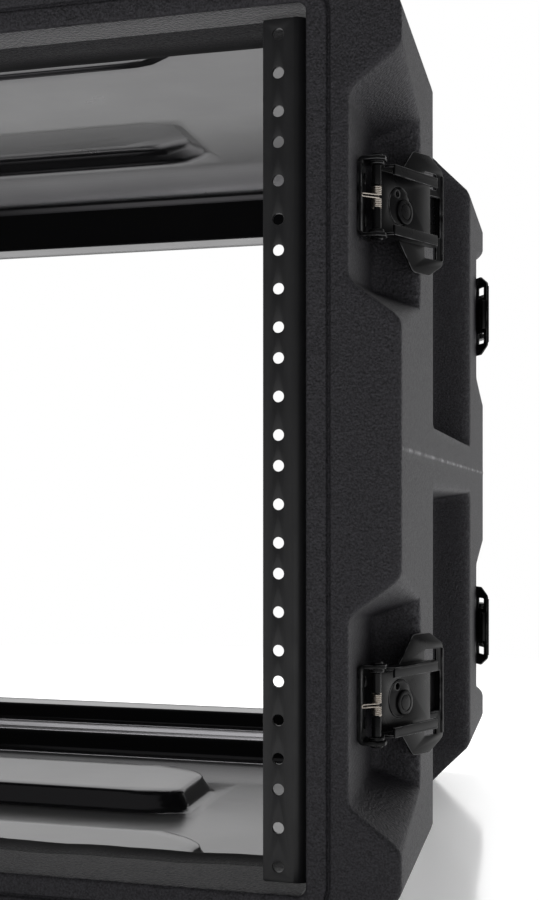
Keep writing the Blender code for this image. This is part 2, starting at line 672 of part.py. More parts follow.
def spring_path():
    """The spring's centre line as (out, inward, w): leg, coil, loop on the base, coil and leg.

    The coil turns about the pin. It leaves its inner end along the line to the loop, and its outer
    end along the line to the arm's web.
    """
    wire = WIRE_DIAMETER / 2
    leg_v = -ARM_WEB_DROP + wire + SLIDE_GAP
    leg_out = LEG_REACH * math.sin(REST_LEAN) + leg_v * math.cos(REST_LEAN)
    leg_in = LEG_REACH * math.cos(REST_LEAN) - leg_v * math.sin(REST_LEAN)
    loop_out = -AXIS_LIFT + SEAT_GAP + BASE_SHEET + wire + SLIDE_GAP
    loop_in = -math.sqrt(LOOP_REACH ** 2 - loop_out ** 2)

    def leave_angle(out, inward, sense):
        """Where a line to a point touches the coil's circle, on the side that the sense names."""
        heading = math.atan2(inward, out)
        return heading + sense * math.acos(COIL_RADIUS / math.hypot(out, inward))

    start = leave_angle(leg_out, leg_in, 1)
    stop = leave_angle(loop_out, loop_in, -1)
    sweep = (stop - start) % (2 * math.pi) + 2 * math.pi * (COIL_TURNS - 1)
    count = max(2, round(POINTS_PER_TURN * sweep / (2 * math.pi)))
    half = [(leg_out, leg_in, COIL_END + LEG_LENGTH), (leg_out, leg_in, COIL_END)]
    for i in range(count + 1):
        angle = start + sweep * i / count
        w = COIL_END + (COIL_START - COIL_END) * i / count
        half.append((COIL_RADIUS * math.cos(angle), COIL_RADIUS * math.sin(angle), w))
    half.append((loop_out, loop_in, COIL_START))
    reach = math.hypot(loop_out, loop_in)
    bend = []
    for i in range(1, LOOP_BEND_POINTS - 1):
        angle = math.pi * i / (LOOP_BEND_POINTS - 1)
        grow = 1.0 + COIL_START * math.sin(angle) / reach
        bend.append((loop_out, loop_in * grow, COIL_START * math.cos(angle)))
    return half + bend + [(out, inward, -w) for out, inward, w in reversed(half)]


def least_self_gap(path):
    """The least clear distance between stretches of the wire that are not neighbours along it."""
    points = []
    for start, stop in zip(path, path[1:]):
        a, b = Vector(start), Vector(stop)
        steps = max(1, math.ceil((b - a).length / (WIRE_DIAMETER / 2)))
        points.extend(a.lerp(b, i / steps) for i in range(steps))
    travelled = [0.0]
    for a, b in zip(points, points[1:]):
        travelled.append(travelled[-1] + (b - a).length)
    apart = math.pi * COIL_START + WIRE_DIAMETER
    gaps = [(points[i] - points[j]).length
            for i in range(len(points)) for j in range(i) if travelled[i] - travelled[j] > apart]
    return min(gaps) - WIRE_DIAMETER


def build_spring(latch):
    """A double torsion spring of one unbroken wire, wound round the pin's core."""
    name = latch.name + "_torsion_spring"
    curve = bpy.data.curves.new(name, "CURVE")
    curve.dimensions = "3D"
    curve.bevel_depth = WIRE_DIAMETER / 2
    curve.bevel_resolution = 1
    curve.use_fill_caps = True
    path = spring_path()
    spline = curve.splines.new("POLY")
    spline.points.add(len(path) - 1)
    for point, (out, inward, w) in zip(spline.points, path):
        point.co = (*(latch.square(out, inward, w) - latch.axis), 1.0)
    spring = bpy.data.objects.new(name, curve)
    spring.location = latch.axis
    bpy.context.scene.collection.objects.link(spring)
    finish(spring, "bright_spring_wire")


def build_latch(end_name, side_name, level_name):
    latch = Latch(end_name, side_name, level_name)
    build_base(latch)
    build_pin(latch)
    build_spring(latch)
    build_arm(latch)
    build_draw_plate(latch)
    build_turn_handle(latch)


def main():
    for item in list(bpy.data.objects):
        bpy.data.objects.remove(item)
    build_shell()
    for end_name in ENDS:
        for side_name in SIDES:
            build_rail(end_name, side_name)
            for level_name in LEVELS:
                build_latch(end_name, side_name, level_name)
    print("least gap of the spring wire to itself, mm:", round(least_self_gap(spring_path()) / MM, 3))


main()
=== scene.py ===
"""The looks of an eight-unit moulded rack case: its shell, rack rails and swing-arm draw latches.

Units are metres, +Z is up, the front faces -Y and the origin is the middle of the underside.
"""

import json
import math

import bmesh
import bpy
import numpy as np
from mathutils import Matrix, Vector


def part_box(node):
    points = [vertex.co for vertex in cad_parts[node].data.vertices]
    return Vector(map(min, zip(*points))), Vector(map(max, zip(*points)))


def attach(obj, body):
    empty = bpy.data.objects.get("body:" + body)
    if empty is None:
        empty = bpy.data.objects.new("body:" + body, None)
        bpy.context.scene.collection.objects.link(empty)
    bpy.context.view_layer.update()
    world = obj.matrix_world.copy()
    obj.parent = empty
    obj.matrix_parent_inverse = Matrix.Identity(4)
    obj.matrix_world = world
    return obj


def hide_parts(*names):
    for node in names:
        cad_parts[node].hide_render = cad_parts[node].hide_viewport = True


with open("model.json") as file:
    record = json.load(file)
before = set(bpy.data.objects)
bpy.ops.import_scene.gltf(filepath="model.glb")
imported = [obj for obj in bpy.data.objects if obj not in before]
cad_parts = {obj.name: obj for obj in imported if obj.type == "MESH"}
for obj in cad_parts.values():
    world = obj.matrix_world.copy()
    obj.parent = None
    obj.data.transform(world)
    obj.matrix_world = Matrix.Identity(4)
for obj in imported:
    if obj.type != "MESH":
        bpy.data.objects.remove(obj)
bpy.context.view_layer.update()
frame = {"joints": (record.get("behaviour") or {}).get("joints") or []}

MM = 0.001

# Sizes read from the frame
shell_low, shell_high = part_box("shell")
rail_low, rail_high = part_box("front_right_rail")
joints = {joint["name"]: joint for joint in frame["joints"]}
SIDE_X = shell_high.x
FRONT_Y = shell_low.y
HALF_DEPTH = (shell_high.y - shell_low.y) / 2
MID_Z = (rail_low.z + rail_high.z) / 2
HALF_HEIGHT = MID_Z - shell_low.z
OPENING_HALF_WIDTH = rail_high.x + 0.3 * MM
OPENING_HALF_HEIGHT = (rail_high.z - rail_low.z) / 2 + 2.8 * MM

SIDES = {"right": 1, "left": -1}
ENDS = {"front": -1, "rear": 1}

# Shell. A pocket's mouth and end have a half height at the rim and one on the floor; a wall has a rim radius,
# a foot radius and a draft.
CORNER_CUT = 41.0 * MM
CORNER_ROUND = 7.0 * MM
WALL = 6.0 * MM
RECESS_DEPTH = 26.0 * MM
RECESS_START = 133.0 * MM
RECESS_WALL = (5.0 * MM, 6.0 * MM, 2.5 * MM)
RECESS_EDGE = 2.0 * MM
BRIDGE_HALF = 15.5 * MM
BRIDGE_DRAFT = 4.0 * MM
BRIDGE_SOFTNESS = 0.35
POCKET_DEPTH = 21.0 * MM
POCKET_LENGTH = 70.0 * MM
POCKET_MOUTH = (54.0 * MM, 38.0 * MM)
POCKET_END = (41.0 * MM, 34.0 * MM)
POCKET_WALL = (2.5 * MM, 5.0 * MM, 1.5 * MM)
POCKET_SOFTNESS = 0.22
LATCH_OFFSET = 105.5 * MM
FRONT_ROUND = 2.6 * MM
SEAM_HEIGHT = 0.3 * MM
SEAM_WIDTH = 0.6 * MM
SEAM_MARK_WIDTH = 0.7 * MM
OPENING_ROUND = 3.0 * MM
OPENING_CUT_SHARE = 0.7
ROOM_HALF_WIDTH = SIDE_X - RECESS_DEPTH - WALL
ROOM_HALF_HEIGHT = HALF_HEIGHT - WALL
ROOM_CUT = 11.5 * MM
ROOM_ROUND = 5.0 * MM
BAND_HOLLOW = (76.0 * MM, 127.0 * MM)
BAND_HOLLOW_HALF = 172.0 * MM
BAND_HOLLOW_DEPTH = 25.0 * MM
BAND_HOLLOW_FLANK = 4.0 * MM
BAND_HOLLOW_SOFTNESS = 0.4
BAND_HOLLOW_WALL = (4.0 * MM, 5.0 * MM, 2.0 * MM)
MOUTH_SPACING = 7.0 * MM
BAND_SPACING = 6.0 * MM
MIDDLE_SPACING = 5.0 * MM
FACE_SHARES = (0.35, 0.7)
WEAR_AND_HIGHLIGHT_RADIUS = 2.0 * MM
SHORTEST_EDGE = 0.4 * MM
INSIDE_WEAR_AND_HIGHLIGHT = 0.1
QUARTER_TURN = np.radians((0.0, 30.0, 60.0, 90.0))
CORNER_TURNS = np.radians((22.5, 45.0, 67.5))
EIGHTH_TANGENT = math.tan(math.pi / 8)

# Numpy helpers for rounded shapes

def ramp(x, half):
    """Zero below -half, x above half and a parabola between, so that a corner becomes a fillet."""
    return np.where(x < -half, 0.0, np.where(x > half, x, (x + half) ** 2 / (4 * half)))


def soft_step(x, half):
    """Rises from 0 at x = 0 to 1 at x = 1, with both corners rounded."""
    return 1.0 - ramp(1.0 - ramp(x, half), half)


def mix(a, b, share):
    return a + (b - a) * share


def unit(ways):
    """The same directions with length one."""
    return ways / np.linalg.norm(ways, axis=-1, keepdims=True)


def directions(turns):
    """A flat direction for each turn."""
    return np.stack((np.cos(turns), np.sin(turns)), axis=-1)


def fill(start, stop, spacing):
    """Evenly spaced values strictly between two ends."""
    count = max(1, math.ceil((stop - start) / spacing))
    return np.linspace(start, stop, count + 1)[1:-1]


def grid_faces(rows, columns, close_rows=False, close_columns=False):
    """Four corners of each cell of a grid of points, row by row."""
    r = np.arange(rows if close_rows else rows - 1)
    c = np.arange(columns if close_columns else columns - 1)
    r, c = np.meshgrid(r, c, indexing="ij")
    r2, c2 = (r + 1) % rows, (c + 1) % columns
    corners = (r * columns + c, r * columns + c2, r2 * columns + c2, r2 * columns + c)
    return np.stack(corners, axis=-1).reshape(-1, 4)


def mesh_data(name, points, faces):
    """A mesh of quads from whole arrays."""
    mesh = bpy.data.meshes.new(name)
    mesh.vertices.add(len(points))
    mesh.vertices.foreach_set("co", np.ascontiguousarray(points, np.float32).ravel())
    mesh.loops.add(faces.size)
    mesh.loops.foreach_set("vertex_index", np.ascontiguousarray(faces, np.int32).ravel())
    mesh.polygons.add(len(faces))
    mesh.polygons.foreach_set("loop_start", np.arange(0, faces.size, 4, dtype=np.int32))
    mesh.update(calc_edges=True)
    mesh.shade_smooth()
    return mesh


def new_object(name, data):
    item = bpy.data.objects.new(name, data)
    bpy.context.scene.collection.objects.link(item)
    return item


def add_piece(name, mesh, body, slot, material, *nodes):
    """Link a mesh as a piece that rides on a body and stands for the named nodes."""
    piece = new_object(name, mesh)
    mesh.materials.clear()
    mesh.materials.append(material)
    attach(piece, body)
    if nodes:
        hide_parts(*nodes)


# Lengthwise lines of the shell: every cross section has one point on each line

def side_lines(outer, floor):
    """Heights of the lines on a side, which follow the bridge and the rim and floor of both pockets."""
    bridge = np.array((0, 0.5, 1.2, 5, 10, 13, 14.3, 15.5, 16.8, 18.2, 19.5, 21, 27, 35, 42)) * MM
    beside = np.array((6.0, 3.0, 1.2)) * MM
    down_wall = np.array((0, 0.12, 0.3, 0.5, 0.7, 0.88, 1.0))
    on_floor = floor - beside[::-1]
    wall = mix(outer, floor, down_wall)
    flank = np.concatenate((outer + beside, wall, on_floor))
    middle = (floor - beside[0]) * np.array((-0.66, -0.33, 0.0, 0.33, 0.66))
    pocket = np.concatenate((-flank, middle, flank[::-1]))
    top = HALF_HEIGHT - CORNER_CUT - CORNER_ROUND * EIGHTH_TANGENT
    last = np.array((mix(LATCH_OFFSET + pocket[-1], top, 0.5), top))
    upper = np.concatenate((bridge, LATCH_OFFSET + pocket, last))
    return np.concatenate((-upper[:0:-1], upper))


MOUTH_LINES = side_lines(*POCKET_MOUTH)
END_LINES = side_lines(*POCKET_END)
SIDE_SHARE = MOUTH_LINES / MOUTH_LINES[-1]
ACROSS_SHARE = np.linspace(1.0, -1.0, 49)
CORNER_LINES = 5
SIDE_COUNT = len(SIDE_SHARE)
ACROSS_COUNT = len(ACROSS_SHARE)
RIGHT = slice(0, SIDE_COUNT)
TOP = slice(RIGHT.stop + CORNER_LINES, RIGHT.stop + CORNER_LINES + ACROSS_COUNT)
LEFT = slice(TOP.stop + CORNER_LINES, TOP.stop + CORNER_LINES + SIDE_COUNT)
BOTTOM = slice(LEFT.stop + CORNER_LINES, LEFT.stop + CORNER_LINES + ACROSS_COUNT)
LINE_COUNT = BOTTOM.stop + CORNER_LINES


def outline(half_width, half_height, cut, radius):
    """A rectangle with cut and rounded corners as one (x, z) point on each line, z from mid-height.

    Lines keep their spacing in proportion on the straight stretches. A corner is an eighth of a
    circle, a straight cut and another eighth.
    """
    reach = cut + radius * EIGHTH_TANGENT
    side_z = SIDE_SHARE * (half_height - reach)
    across_x = ACROSS_SHARE * (half_width - reach)
    arc = radius * directions(CORNER_TURNS).T
    low = arc[:, :2] + ((half_width - radius,), (half_height - reach,))
    high = arc[:, 1:] + ((half_width - reach,), (half_height - radius,))
    middle = (low[:, 1] + high[:, 0])[:, None] / 2
    corner = np.concatenate((low, middle, high), axis=1)
    flip_x = np.array(((-1.0,), (1.0,)))
    right = np.stack((np.full(SIDE_COUNT, half_width), side_z))
    top = np.stack((across_x, np.full(ACROSS_COUNT, half_height)))
    half = np.concatenate((right, corner, top, (flip_x * corner)[:, ::-1]), axis=1)
    return np.concatenate((half, -half), axis=1).T


ROOM_OUTLINE = outline(ROOM_HALF_WIDTH, ROOM_HALF_HEIGHT, ROOM_CUT, ROOM_ROUND)


def in_space(sections):
    """Points of cross sections that are given as a y, or one on each line, and (x, z) points."""
    return np.array([np.stack((xz[:, 0], np.broadcast_to(y, len(xz)), MID_Z + xz[:, 1]), axis=-1)
                     for y, xz in sections])


def with_rear(sections):
    """Sections of the front half, and the same again in reverse for the rear half."""
    return sections + [(-y, points) for y, points in sections[-2::-1]]


def steep_wall(start, depth, rim, foot, draft):
    """Distances and depth shares down a wall: a rounded rim, a drafted face and a rounded foot."""
    over, down = np.sin(QUARTER_TURN), 1 - np.cos(QUARTER_TURN)
    rim_y = start - rim + rim * over
    rim_share = rim * down / depth
    foot_y = start + draft + foot * down
    foot_share = 1 - foot * (1 - over) / depth
    face = np.array((0.33, 0.67))
    face_y = mix(rim_y[-1], foot_y[0], face)
    face_share = mix(rim_share[-1], foot_share[0], face)
    return np.concatenate((rim_y, face_y, foot_y)), np.concatenate((rim_share, face_share, foot_share))


def outside_stations():
    """Distance from the end plane, recess share and pocket share of each outer section of half the case."""
    recess_y, recess = steep_wall(RECESS_START, RECESS_DEPTH, *RECESS_WALL)
    back_y, back = steep_wall(-POCKET_LENGTH, POCKET_DEPTH, *POCKET_WALL)
    pocket_y, pocket = -back_y[::-1], back[::-1]
    mouth = np.concatenate(([FRONT_ROUND], fill(FRONT_ROUND, pocket_y[0], MOUTH_SPACING)))
    band = fill(pocket_y[-1], recess_y[0], BAND_SPACING)
    middle = np.concatenate((fill(recess_y[-1], HALF_DEPTH, MIDDLE_SPACING), [HALF_DEPTH]))
    distance = np.concatenate((mouth, pocket_y, band, recess_y, middle))
    recess_share = np.concatenate((np.zeros(len(mouth) + len(pocket) + len(band)), recess, 1 + 0 * middle))
    pocket_share = np.concatenate((1 + 0 * mouth, pocket, np.zeros(len(band) + len(recess) + len(middle))))
    return distance, recess_share, pocket_share


def side_depth(z, outer, floor, recess_share, pocket_share):
    """How far a side is sunk at a height: the hand recess outside the bridge, and the two latch pockets."""
    bridge = soft_step((np.abs(z) - BRIDGE_HALF) / BRIDGE_DRAFT, BRIDGE_SOFTNESS)
    from_latch = np.abs(np.abs(z) - LATCH_OFFSET)
    pocket = soft_step((outer - from_latch) / (outer - floor), POCKET_SOFTNESS)
    return RECESS_DEPTH * recess_share * bridge + POCKET_DEPTH * pocket_share * pocket


def outside_section(distance, recess_share, pocket_share):
    """The outer outline with its sides sunk, and its cut corners trimmed by the hand recess."""
    points = outline(SIDE_X, HALF_HEIGHT, CORNER_CUT, CORNER_ROUND)
    share = min(1.0, distance / POCKET_LENGTH)
    outer, floor = (mix(*widths, share) for widths in zip(POCKET_MOUTH, POCKET_END))
    z = mix(MOUTH_LINES, END_LINES, share)
    seam = SEAM_HEIGHT * np.exp(-(z / SEAM_WIDTH) ** 2)
    x = SIDE_X - side_depth(z, outer, floor, recess_share, pocket_share) + seam
    limit = SIDE_X - RECESS_DEPTH * recess_share
    points[:, 0] = np.clip(points[:, 0], ramp(points[:, 0] + limit, RECESS_EDGE) - limit, None)
    points[:, 0] = limit - ramp(limit - points[:, 0], RECESS_EDGE)
    points[RIGHT] = np.stack((x, z), axis=-1)
    points[LEFT] = -points[RIGHT]
    return points


# Ends of the shell: from the outer edge over the face, the groove and the lip, to the room inside

# Lip and groove round the opening: distance out from it and depth, in mm
LIP = ((10.7, 0.0), (10.3, 0.2), (10.05, 0.8), (9.9, 1.6), (9.3, 1.9), (8.7, 1.7), (8.45, 0.9), (8.2, 0.5),
       (7.7, 0.4), (1.6, 0.4))
# Rounding from the lip to the opening, in mm
ROUND_OUT = 1.6
ROUND_STEPS = np.radians((22.5, 45.0, 67.5, 90.0))
# Depth of the trimmed edge of the front's top and bottom flange, and the height of its waves
TRIM = (59.0 * MM, 67.0 * MM)
TRIM_WAVE = (0.3 * MM, 2.0 * MM)
# The waves themselves: relative height, radians per metre and start
TRIM_WAVES = ((1.0, 31.0, 0.7), (0.6, 83.0, 2.1), (0.3, 197.0, 0.0))
# Front flange, trough and end wall: depth in mm, share of the trimmed edge's depth, and distance out in mm
FLANGE_ROWS = (
    (10.0, 0, 0.0), (22.0, 0, 0.0), (25.0, 0, 0.0), (-26.0, 1, 0.0), (-22.0, 1, 0.1), (-6.0, 1, 0.7),
    (-1.2, 1, 1.0), (-0.35, 1, 1.35), (0.0, 1, 2.2), (0.0, 1, 5.0), (-0.35, 1, 6.1), (-1.2, 1, 6.5),
    (-12.0, 1, 6.4), (30.0, 0, 6.2), (13.0, 0, 6.0), (9.5, 0, 7.4), (8.0, 0, 11.0), (8.0, 0, 18.0),
    (8.0, 0, 24.4), (9.07, 0, 28.4), (12.0, 0, 31.3), (16.0, 0, 32.4),
)
# Rear ledges, each with a face behind it, in the same terms; the bottom one stands on a sloping step
REAR_TOP_ROWS = (
    (10.0, 0, 0.0), (20.0, 0, 0.0), (28.0, 0, 0.0), (33.0, 0, 0.0), (35.5, 0, 0.0), (36.6, 0, 0.5),
    (37.0, 0, 1.5), *((37 + step / 10, 0, 1.0 + 2 * step) for step in range(1, 14)),
    (38.6, 0, 30.0), (40.0, 0, 32.4),
)
REAR_BOTTOM_ROWS = (
    (8.0, 0, 0.0), (16.0, 0, 0.0), (22.0, 0, 0.0), (26.0, 0, 0.0), (28.2, 0, 0.0), (29.3, 0, 0.5),
    (29.7, 0, 1.5), (29.8, 0, 4.0), (29.9, 0, 7.0), (30.1, 0, 10.0), (31.0, 0, 12.0), (33.0, 0, 12.9),
    (38.0, 0, 14.0), (44.0, 0, 15.1), (50.0, 0, 16.2), (52.4, 0, 17.0), (53.4, 0, 18.2), (53.8, 0, 20.0),
    (54.0, 0, 24.0), (54.2, 0, 28.0), (55.4, 0, 31.2), (58.0, 0, 32.4),
)
END_ROWS = {"front": (FLANGE_ROWS, FLANGE_ROWS), "rear": (REAR_TOP_ROWS, REAR_BOTTOM_ROWS)}
# The same rows on the sides, where the frame is solid as far as the room: depth and distance out in mm
SIDE_ROWS = (
    (10.0, 0.0), (17.0, 0.0), (23.0, 0.0), (42.0, 0.0), (48.0, 0.0), (53.0, 0.0), (57.4, 0.0), (58.7, 0.35),
    (59.6, 1.3), *((60.0, out) for out in (2.6, 2.9, 3.1, 3.25, 3.4, 3.5, 3.6, 3.7, 3.75, 3.8)),
    (60.35, 5.1), (61.3, 6.05), (62.6, 6.4),
)
ROW_COUNT = len(SIDE_ROWS)
LEVEL_REACH, SIDE_REACH = FLANGE_ROWS[-1][2], SIDE_ROWS[-1][1]
# Finish of the strip before each of these rows, at the top and at the bottom
PEBBLED, SATIN, DULL = range(3)
ROW_FINISH = {
    "front": ((SATIN,) * 2 + (DULL,) * 17 + (SATIN,) * 3, (PEBBLED,) * 4 + (DULL,) * 15 + (SATIN,) * 3),
    "rear": ((SATIN,) * 5 + (DULL,) * 15 + (SATIN,) * 2,
             (SATIN,) * 5 + (DULL,) * 5 + (SATIN,) * 6 + (DULL,) * 4 + (SATIN,) * 2),
}
TEXTURED_ROWS = 5
# How far the ceiling sinks and the floor rises towards the rear frame, and over which depths
CEILING_SAG = (6.0 * MM, 398.0 * MM, 470.0 * MM)
FLOOR_RISE = (2.0 * MM, 385.0 * MM, 448.0 * MM)
# Stretches of ceiling and floor that end at a wall: start and end depth, and height of the wall. The second
# one of the floor is the sloping step, with the height of the face that is left above it.
CEILING_WALLS = ((300.0 * MM, 471.0 * MM, 30.0 * MM),)
FLOOR_WALLS = ((300.0 * MM, 478.0 * MM, 32.0 * MM), (457.0 * MM, 477.0 * MM, 12.0 * MM))
# Swells before these walls: way up, the angle at which an eye at mid-height looks along, and the walls
SWELLS = ((1, math.radians(12.5), CEILING_WALLS), (-1, math.radians(10.0), FLOOR_WALLS))
STEEPEST_SWELL = math.radians(24.0)
SWELL_STEPS = 1017
SWELL_NEAREST = 1.0 * MM
SWELL_STOP = 1.5 * MM
SWELL_FADE = (60.0 * MM, 160.0 * MM)


def opening_outline(out):
    """The opening's outline moved out by a distance."""
    radius = OPENING_ROUND + out
    return outline(OPENING_HALF_WIDTH + out, OPENING_HALF_HEIGHT + out, OPENING_CUT_SHARE * radius, radius)


def by_wall(for_side, for_top, for_bottom):
    """A value on each line, for the sides, the top and the bottom, with a mean of two on each corner."""
    value = np.full(LINE_COUNT, (for_side + for_top) / 2)
    value[LEFT.stop:] = (for_side + for_bottom) / 2
    value[RIGHT] = for_side
    value[LEFT] = for_side
    value[TOP] = for_top
    value[BOTTOM] = for_bottom
    return value


def trimmed_edge(x):
    """Depth of the flanges' uneven hand-trimmed edge on each line, as a sum of slow waves across the case."""
    wave = sum(height * np.sin(rate * x + start) for height, rate, start in TRIM_WAVES)
    depth = np.full(LINE_COUNT, TRIM[0])
    for lines, trim, size in zip((TOP, BOTTOM), TRIM, TRIM_WAVE):
        depth[lines] = trim + size * wave[lines]
    return depth


def end_sections(end_name, outer):
    """Sections from the rounded outer edge to the room, as distances in from the end plane.

    The face runs to a lip and a groove, then rounds to the opening. At the front's top and bottom a
    thin flange follows, with a trough between it and the end wall; at the rear a ledge and a step.
    """
    plane = outer[:, (0, 2)] - (0.0, MID_Z)
    lip_start = opening_outline(LIP[0][0] * MM)
    inwards = unit(lip_start - plane)
    rows = []
    for turn in QUARTER_TURN[1:]:
        depth = FRONT_ROUND * (1 - math.sin(turn))
        rows.append((depth, plane + FRONT_ROUND * (1 - math.cos(turn)) * inwards))
    face = rows[-1][1]
    for share in FACE_SHARES:
        rows.append((0.0, mix(face, lip_start, share)))
    for out, depth in LIP:
        rows.append((depth * MM, opening_outline(out * MM)))
    for turn in ROUND_STEPS:
        depth = LIP[-1][1] + ROUND_OUT * (1 - math.cos(turn))
        rows.append((depth * MM, opening_outline(ROUND_OUT * (1 - math.sin(turn)) * MM)))
    opening = opening_outline(0.0)
    trim = trimmed_edge(opening[:, 0])
    for top, bottom, side in zip(*END_ROWS[end_name], SIDE_ROWS):
        depth = by_wall(side[0], top[0], bottom[0]) * MM + by_wall(0.0, top[1], bottom[1]) * trim
        share = by_wall(side[1] / SIDE_REACH, top[2] / LEVEL_REACH, bottom[2] / LEVEL_REACH)
        rows.append((depth, mix(opening, ROOM_OUTLINE, share[:, None])))
    end = ENDS[end_name]
    return in_space((end * (HALF_DEPTH - depth), points) for depth, points in rows)


def room_stations():
    """Distance from the end plane and band hollow share of each inner section of half the case."""
    near_y, near = steep_wall(BAND_HOLLOW[0], BAND_HOLLOW_DEPTH, *BAND_HOLLOW_WALL)
    far_y, far = steep_wall(-BAND_HOLLOW[1], BAND_HOLLOW_DEPTH, *BAND_HOLLOW_WALL)
    hollow = fill(near_y[-1], -far_y[-1], BAND_SPACING)
    middle = np.concatenate((fill(-far_y[0], HALF_DEPTH, MIDDLE_SPACING), [HALF_DEPTH]))
    distance = np.concatenate((near_y, hollow, -far_y[::-1], middle))
    share = np.concatenate((near, 1 + 0 * hollow, far[::-1], 0 * middle))
    return distance, share


def rise_between(y, start, stop):
    """Zero up to one depth and one past another, with a smooth cubic between."""
    share = np.clip((y - start) / (stop - start), 0.0, 1.0)
    return share * share * (3 - 2 * share)


def inner_sections():
    """The room's outline from end to end, with its walls sunk into the bands."""
    distances, shares = room_stations()
    above = (BAND_HOLLOW_HALF - np.abs(ROOM_OUTLINE[RIGHT, 1])) / BAND_HOLLOW_FLANK
    inside = soft_step(above, BAND_HOLLOW_SOFTNESS)
    rows = []
    for distance, share in zip(distances, shares):
        points = ROOM_OUTLINE.copy()
        points[RIGHT, 0] += BAND_HOLLOW_DEPTH * share * inside
        points[LEFT, 0] = -points[RIGHT, 0]
        rows.append((FRONT_Y + distance, points))
    ends = {}
    for end_name, end in ENDS.items():
        top, bottom = END_ROWS[end_name]
        start = by_wall(SIDE_ROWS[-1][0], top[-1][0], bottom[-1][0]) * MM
        ends[end_name] = [(end * (HALF_DEPTH - mix(start, distances[0], share)), ROOM_OUTLINE)
                          for share in np.linspace(0.0, 1.0, 11)[1:-1]]
    return in_space(ends["front"] + with_rear(rows) + ends["rear"][::-1])


def draw_in(points):
    """Let the ceiling sink and the floor rise towards the rear frame, in place."""
    for lines, sign, (size, start, stop) in ((TOP, -1, CEILING_SAG), (BOTTOM, 1, FLOOR_RISE)):
        points[:, lines, 2] += sign * size * rise_between(points[:, lines, 1] - FRONT_Y, start, stop)


# Raised bars and pads: rings of grid points are laid along the outline of each

# Start from the front plane, length, half width, height, draft, foot radius and crown radius, in mm
ROOF_BARS = ((59.0, 124.0, 175.0, 10.0, 8.0, 3.0, 4.0), (281.0, 115.0, 116.0, 10.0, 8.0, 3.0, 4.0))
CEILING_HOLLOWS = ((65.0, 104.0, 152.0, 2.0, 2.0, 0.6, 0.9), (285.0, 103.0, 112.0, 10.0, 7.0, 3.0, 5.0))
UNDERSIDE_HOLLOWS = ((101.0, 80.0, 159.0, 12.5, 3.0, 3.0, 3.0), (284.0, 74.0, 111.0, 12.5, 3.0, 3.0, 3.0))
FLOOR_PADS = ((95.0, 92.0, 165.0, 12.5, 3.0, 4.0, 3.0), (278.0, 97.0, 118.0, 12.5, 3.0, 4.0, 3.0))
FRONT_PAD_CORNER = 9.0 * MM
REAR_PAD_CORNER = 21.0 * MM
PAD_MARGIN = 7.0 * MM
PAD_MIDDLE = 1.0 * MM
# Most that a corner may cut off, as a share of the pad's half length, and how softly the cut begins
PAD_CUT_MOST = 1.6
PAD_CUT_SOFTNESS = 0.4


def ring_places(rows, columns):
    """Ring number from the border inwards, and the place along the ring, of each point of a block.

    On the rings' row sides the place runs -1 to 1 along the row, on their column sides along the column.
    """
    r, c = np.indices((rows, columns))
    ring = np.minimum(np.minimum(r, rows - 1 - r), np.minimum(c, columns - 1 - c))
    along_row = 2 * (c - ring) / np.maximum(columns - 1 - 2 * ring, 1) - 1
    along_column = 2 * (r - ring) / np.maximum(rows - 1 - 2 * ring, 1) - 1
    row_side = np.where(r == ring, -1.0, np.where(r == rows - 1 - ring, 1.0, 0.0))
    return ring, along_row, along_column, row_side


def pad_profile(rings, half_length, height, draft, foot, crown):
    """Offset out from the outline and height of each ring: foot fillet, wall, crown fillet, flat top."""
    out, up = 1 - np.sin(QUARTER_TURN), 1 - np.cos(QUARTER_TURN)
    offset = np.concatenate((foot * out, -draft - crown * up))
    rise = np.concatenate((foot * up, height - crown * out))
    spare = rings - len(offset)
    inner = np.linspace(offset[-1], PAD_MIDDLE - half_length, spare + 1)[1:]
    return np.concatenate(([0.0], offset, inner)), np.concatenate(([0.0], rise, np.full(spare, height)))


def raise_pad(points, lines, sizes):
    """Lay rings of grid points round one pad and lift them, in place. The border of the block stays."""
    start, length, half_width, *profile = (size * MM for size in sizes)
    y = points[:, lines.start, 1] - FRONT_Y
    first = np.searchsorted(y, start - PAD_MARGIN) - 1
    last = np.searchsorted(y, start + length + PAD_MARGIN) + 1
    x = np.abs(points[0, lines, 0])
    inside = np.nonzero(x < half_width + PAD_MARGIN)[0]
    columns = slice(lines.start + inside[0] - 1, lines.start + inside[-1] + 2)
    block = points[first:last, columns]
    ring, along_row, along_column, row_side = ring_places(*block.shape[:2])
    offset, rise = pad_profile(ring.max(), length / 2, *profile)
    a = half_width + offset[ring]
    b = length / 2 + offset[ring]
    in_front = np.where(row_side == 0, along_column, row_side) < 0
    cut = np.minimum(np.where(in_front, FRONT_PAD_CORNER, REAR_PAD_CORNER), PAD_CUT_MOST * b)
    turn = PAD_CUT_SOFTNESS * cut
    column_sense = np.sign(block[0, -1, 0] - block[0, 0, 0])
    along_x = along_row * (a - cut / 2)
    along_y = along_column * (b - cut / 2)
    x = np.where(row_side == 0, np.sign(along_row) * (a - ramp(np.abs(along_y) - (b - cut), turn)), along_x)
    y = np.where(row_side == 0, along_y, row_side * (b - ramp(np.abs(along_x) - (a - cut), turn)))
    y = FRONT_Y + start + length / 2 + y
    moved = np.stack((column_sense * x, y, block[..., 2] + rise[ring]), axis=-1)
    block[...] = np.where((ring == 0)[..., None], block, moved)


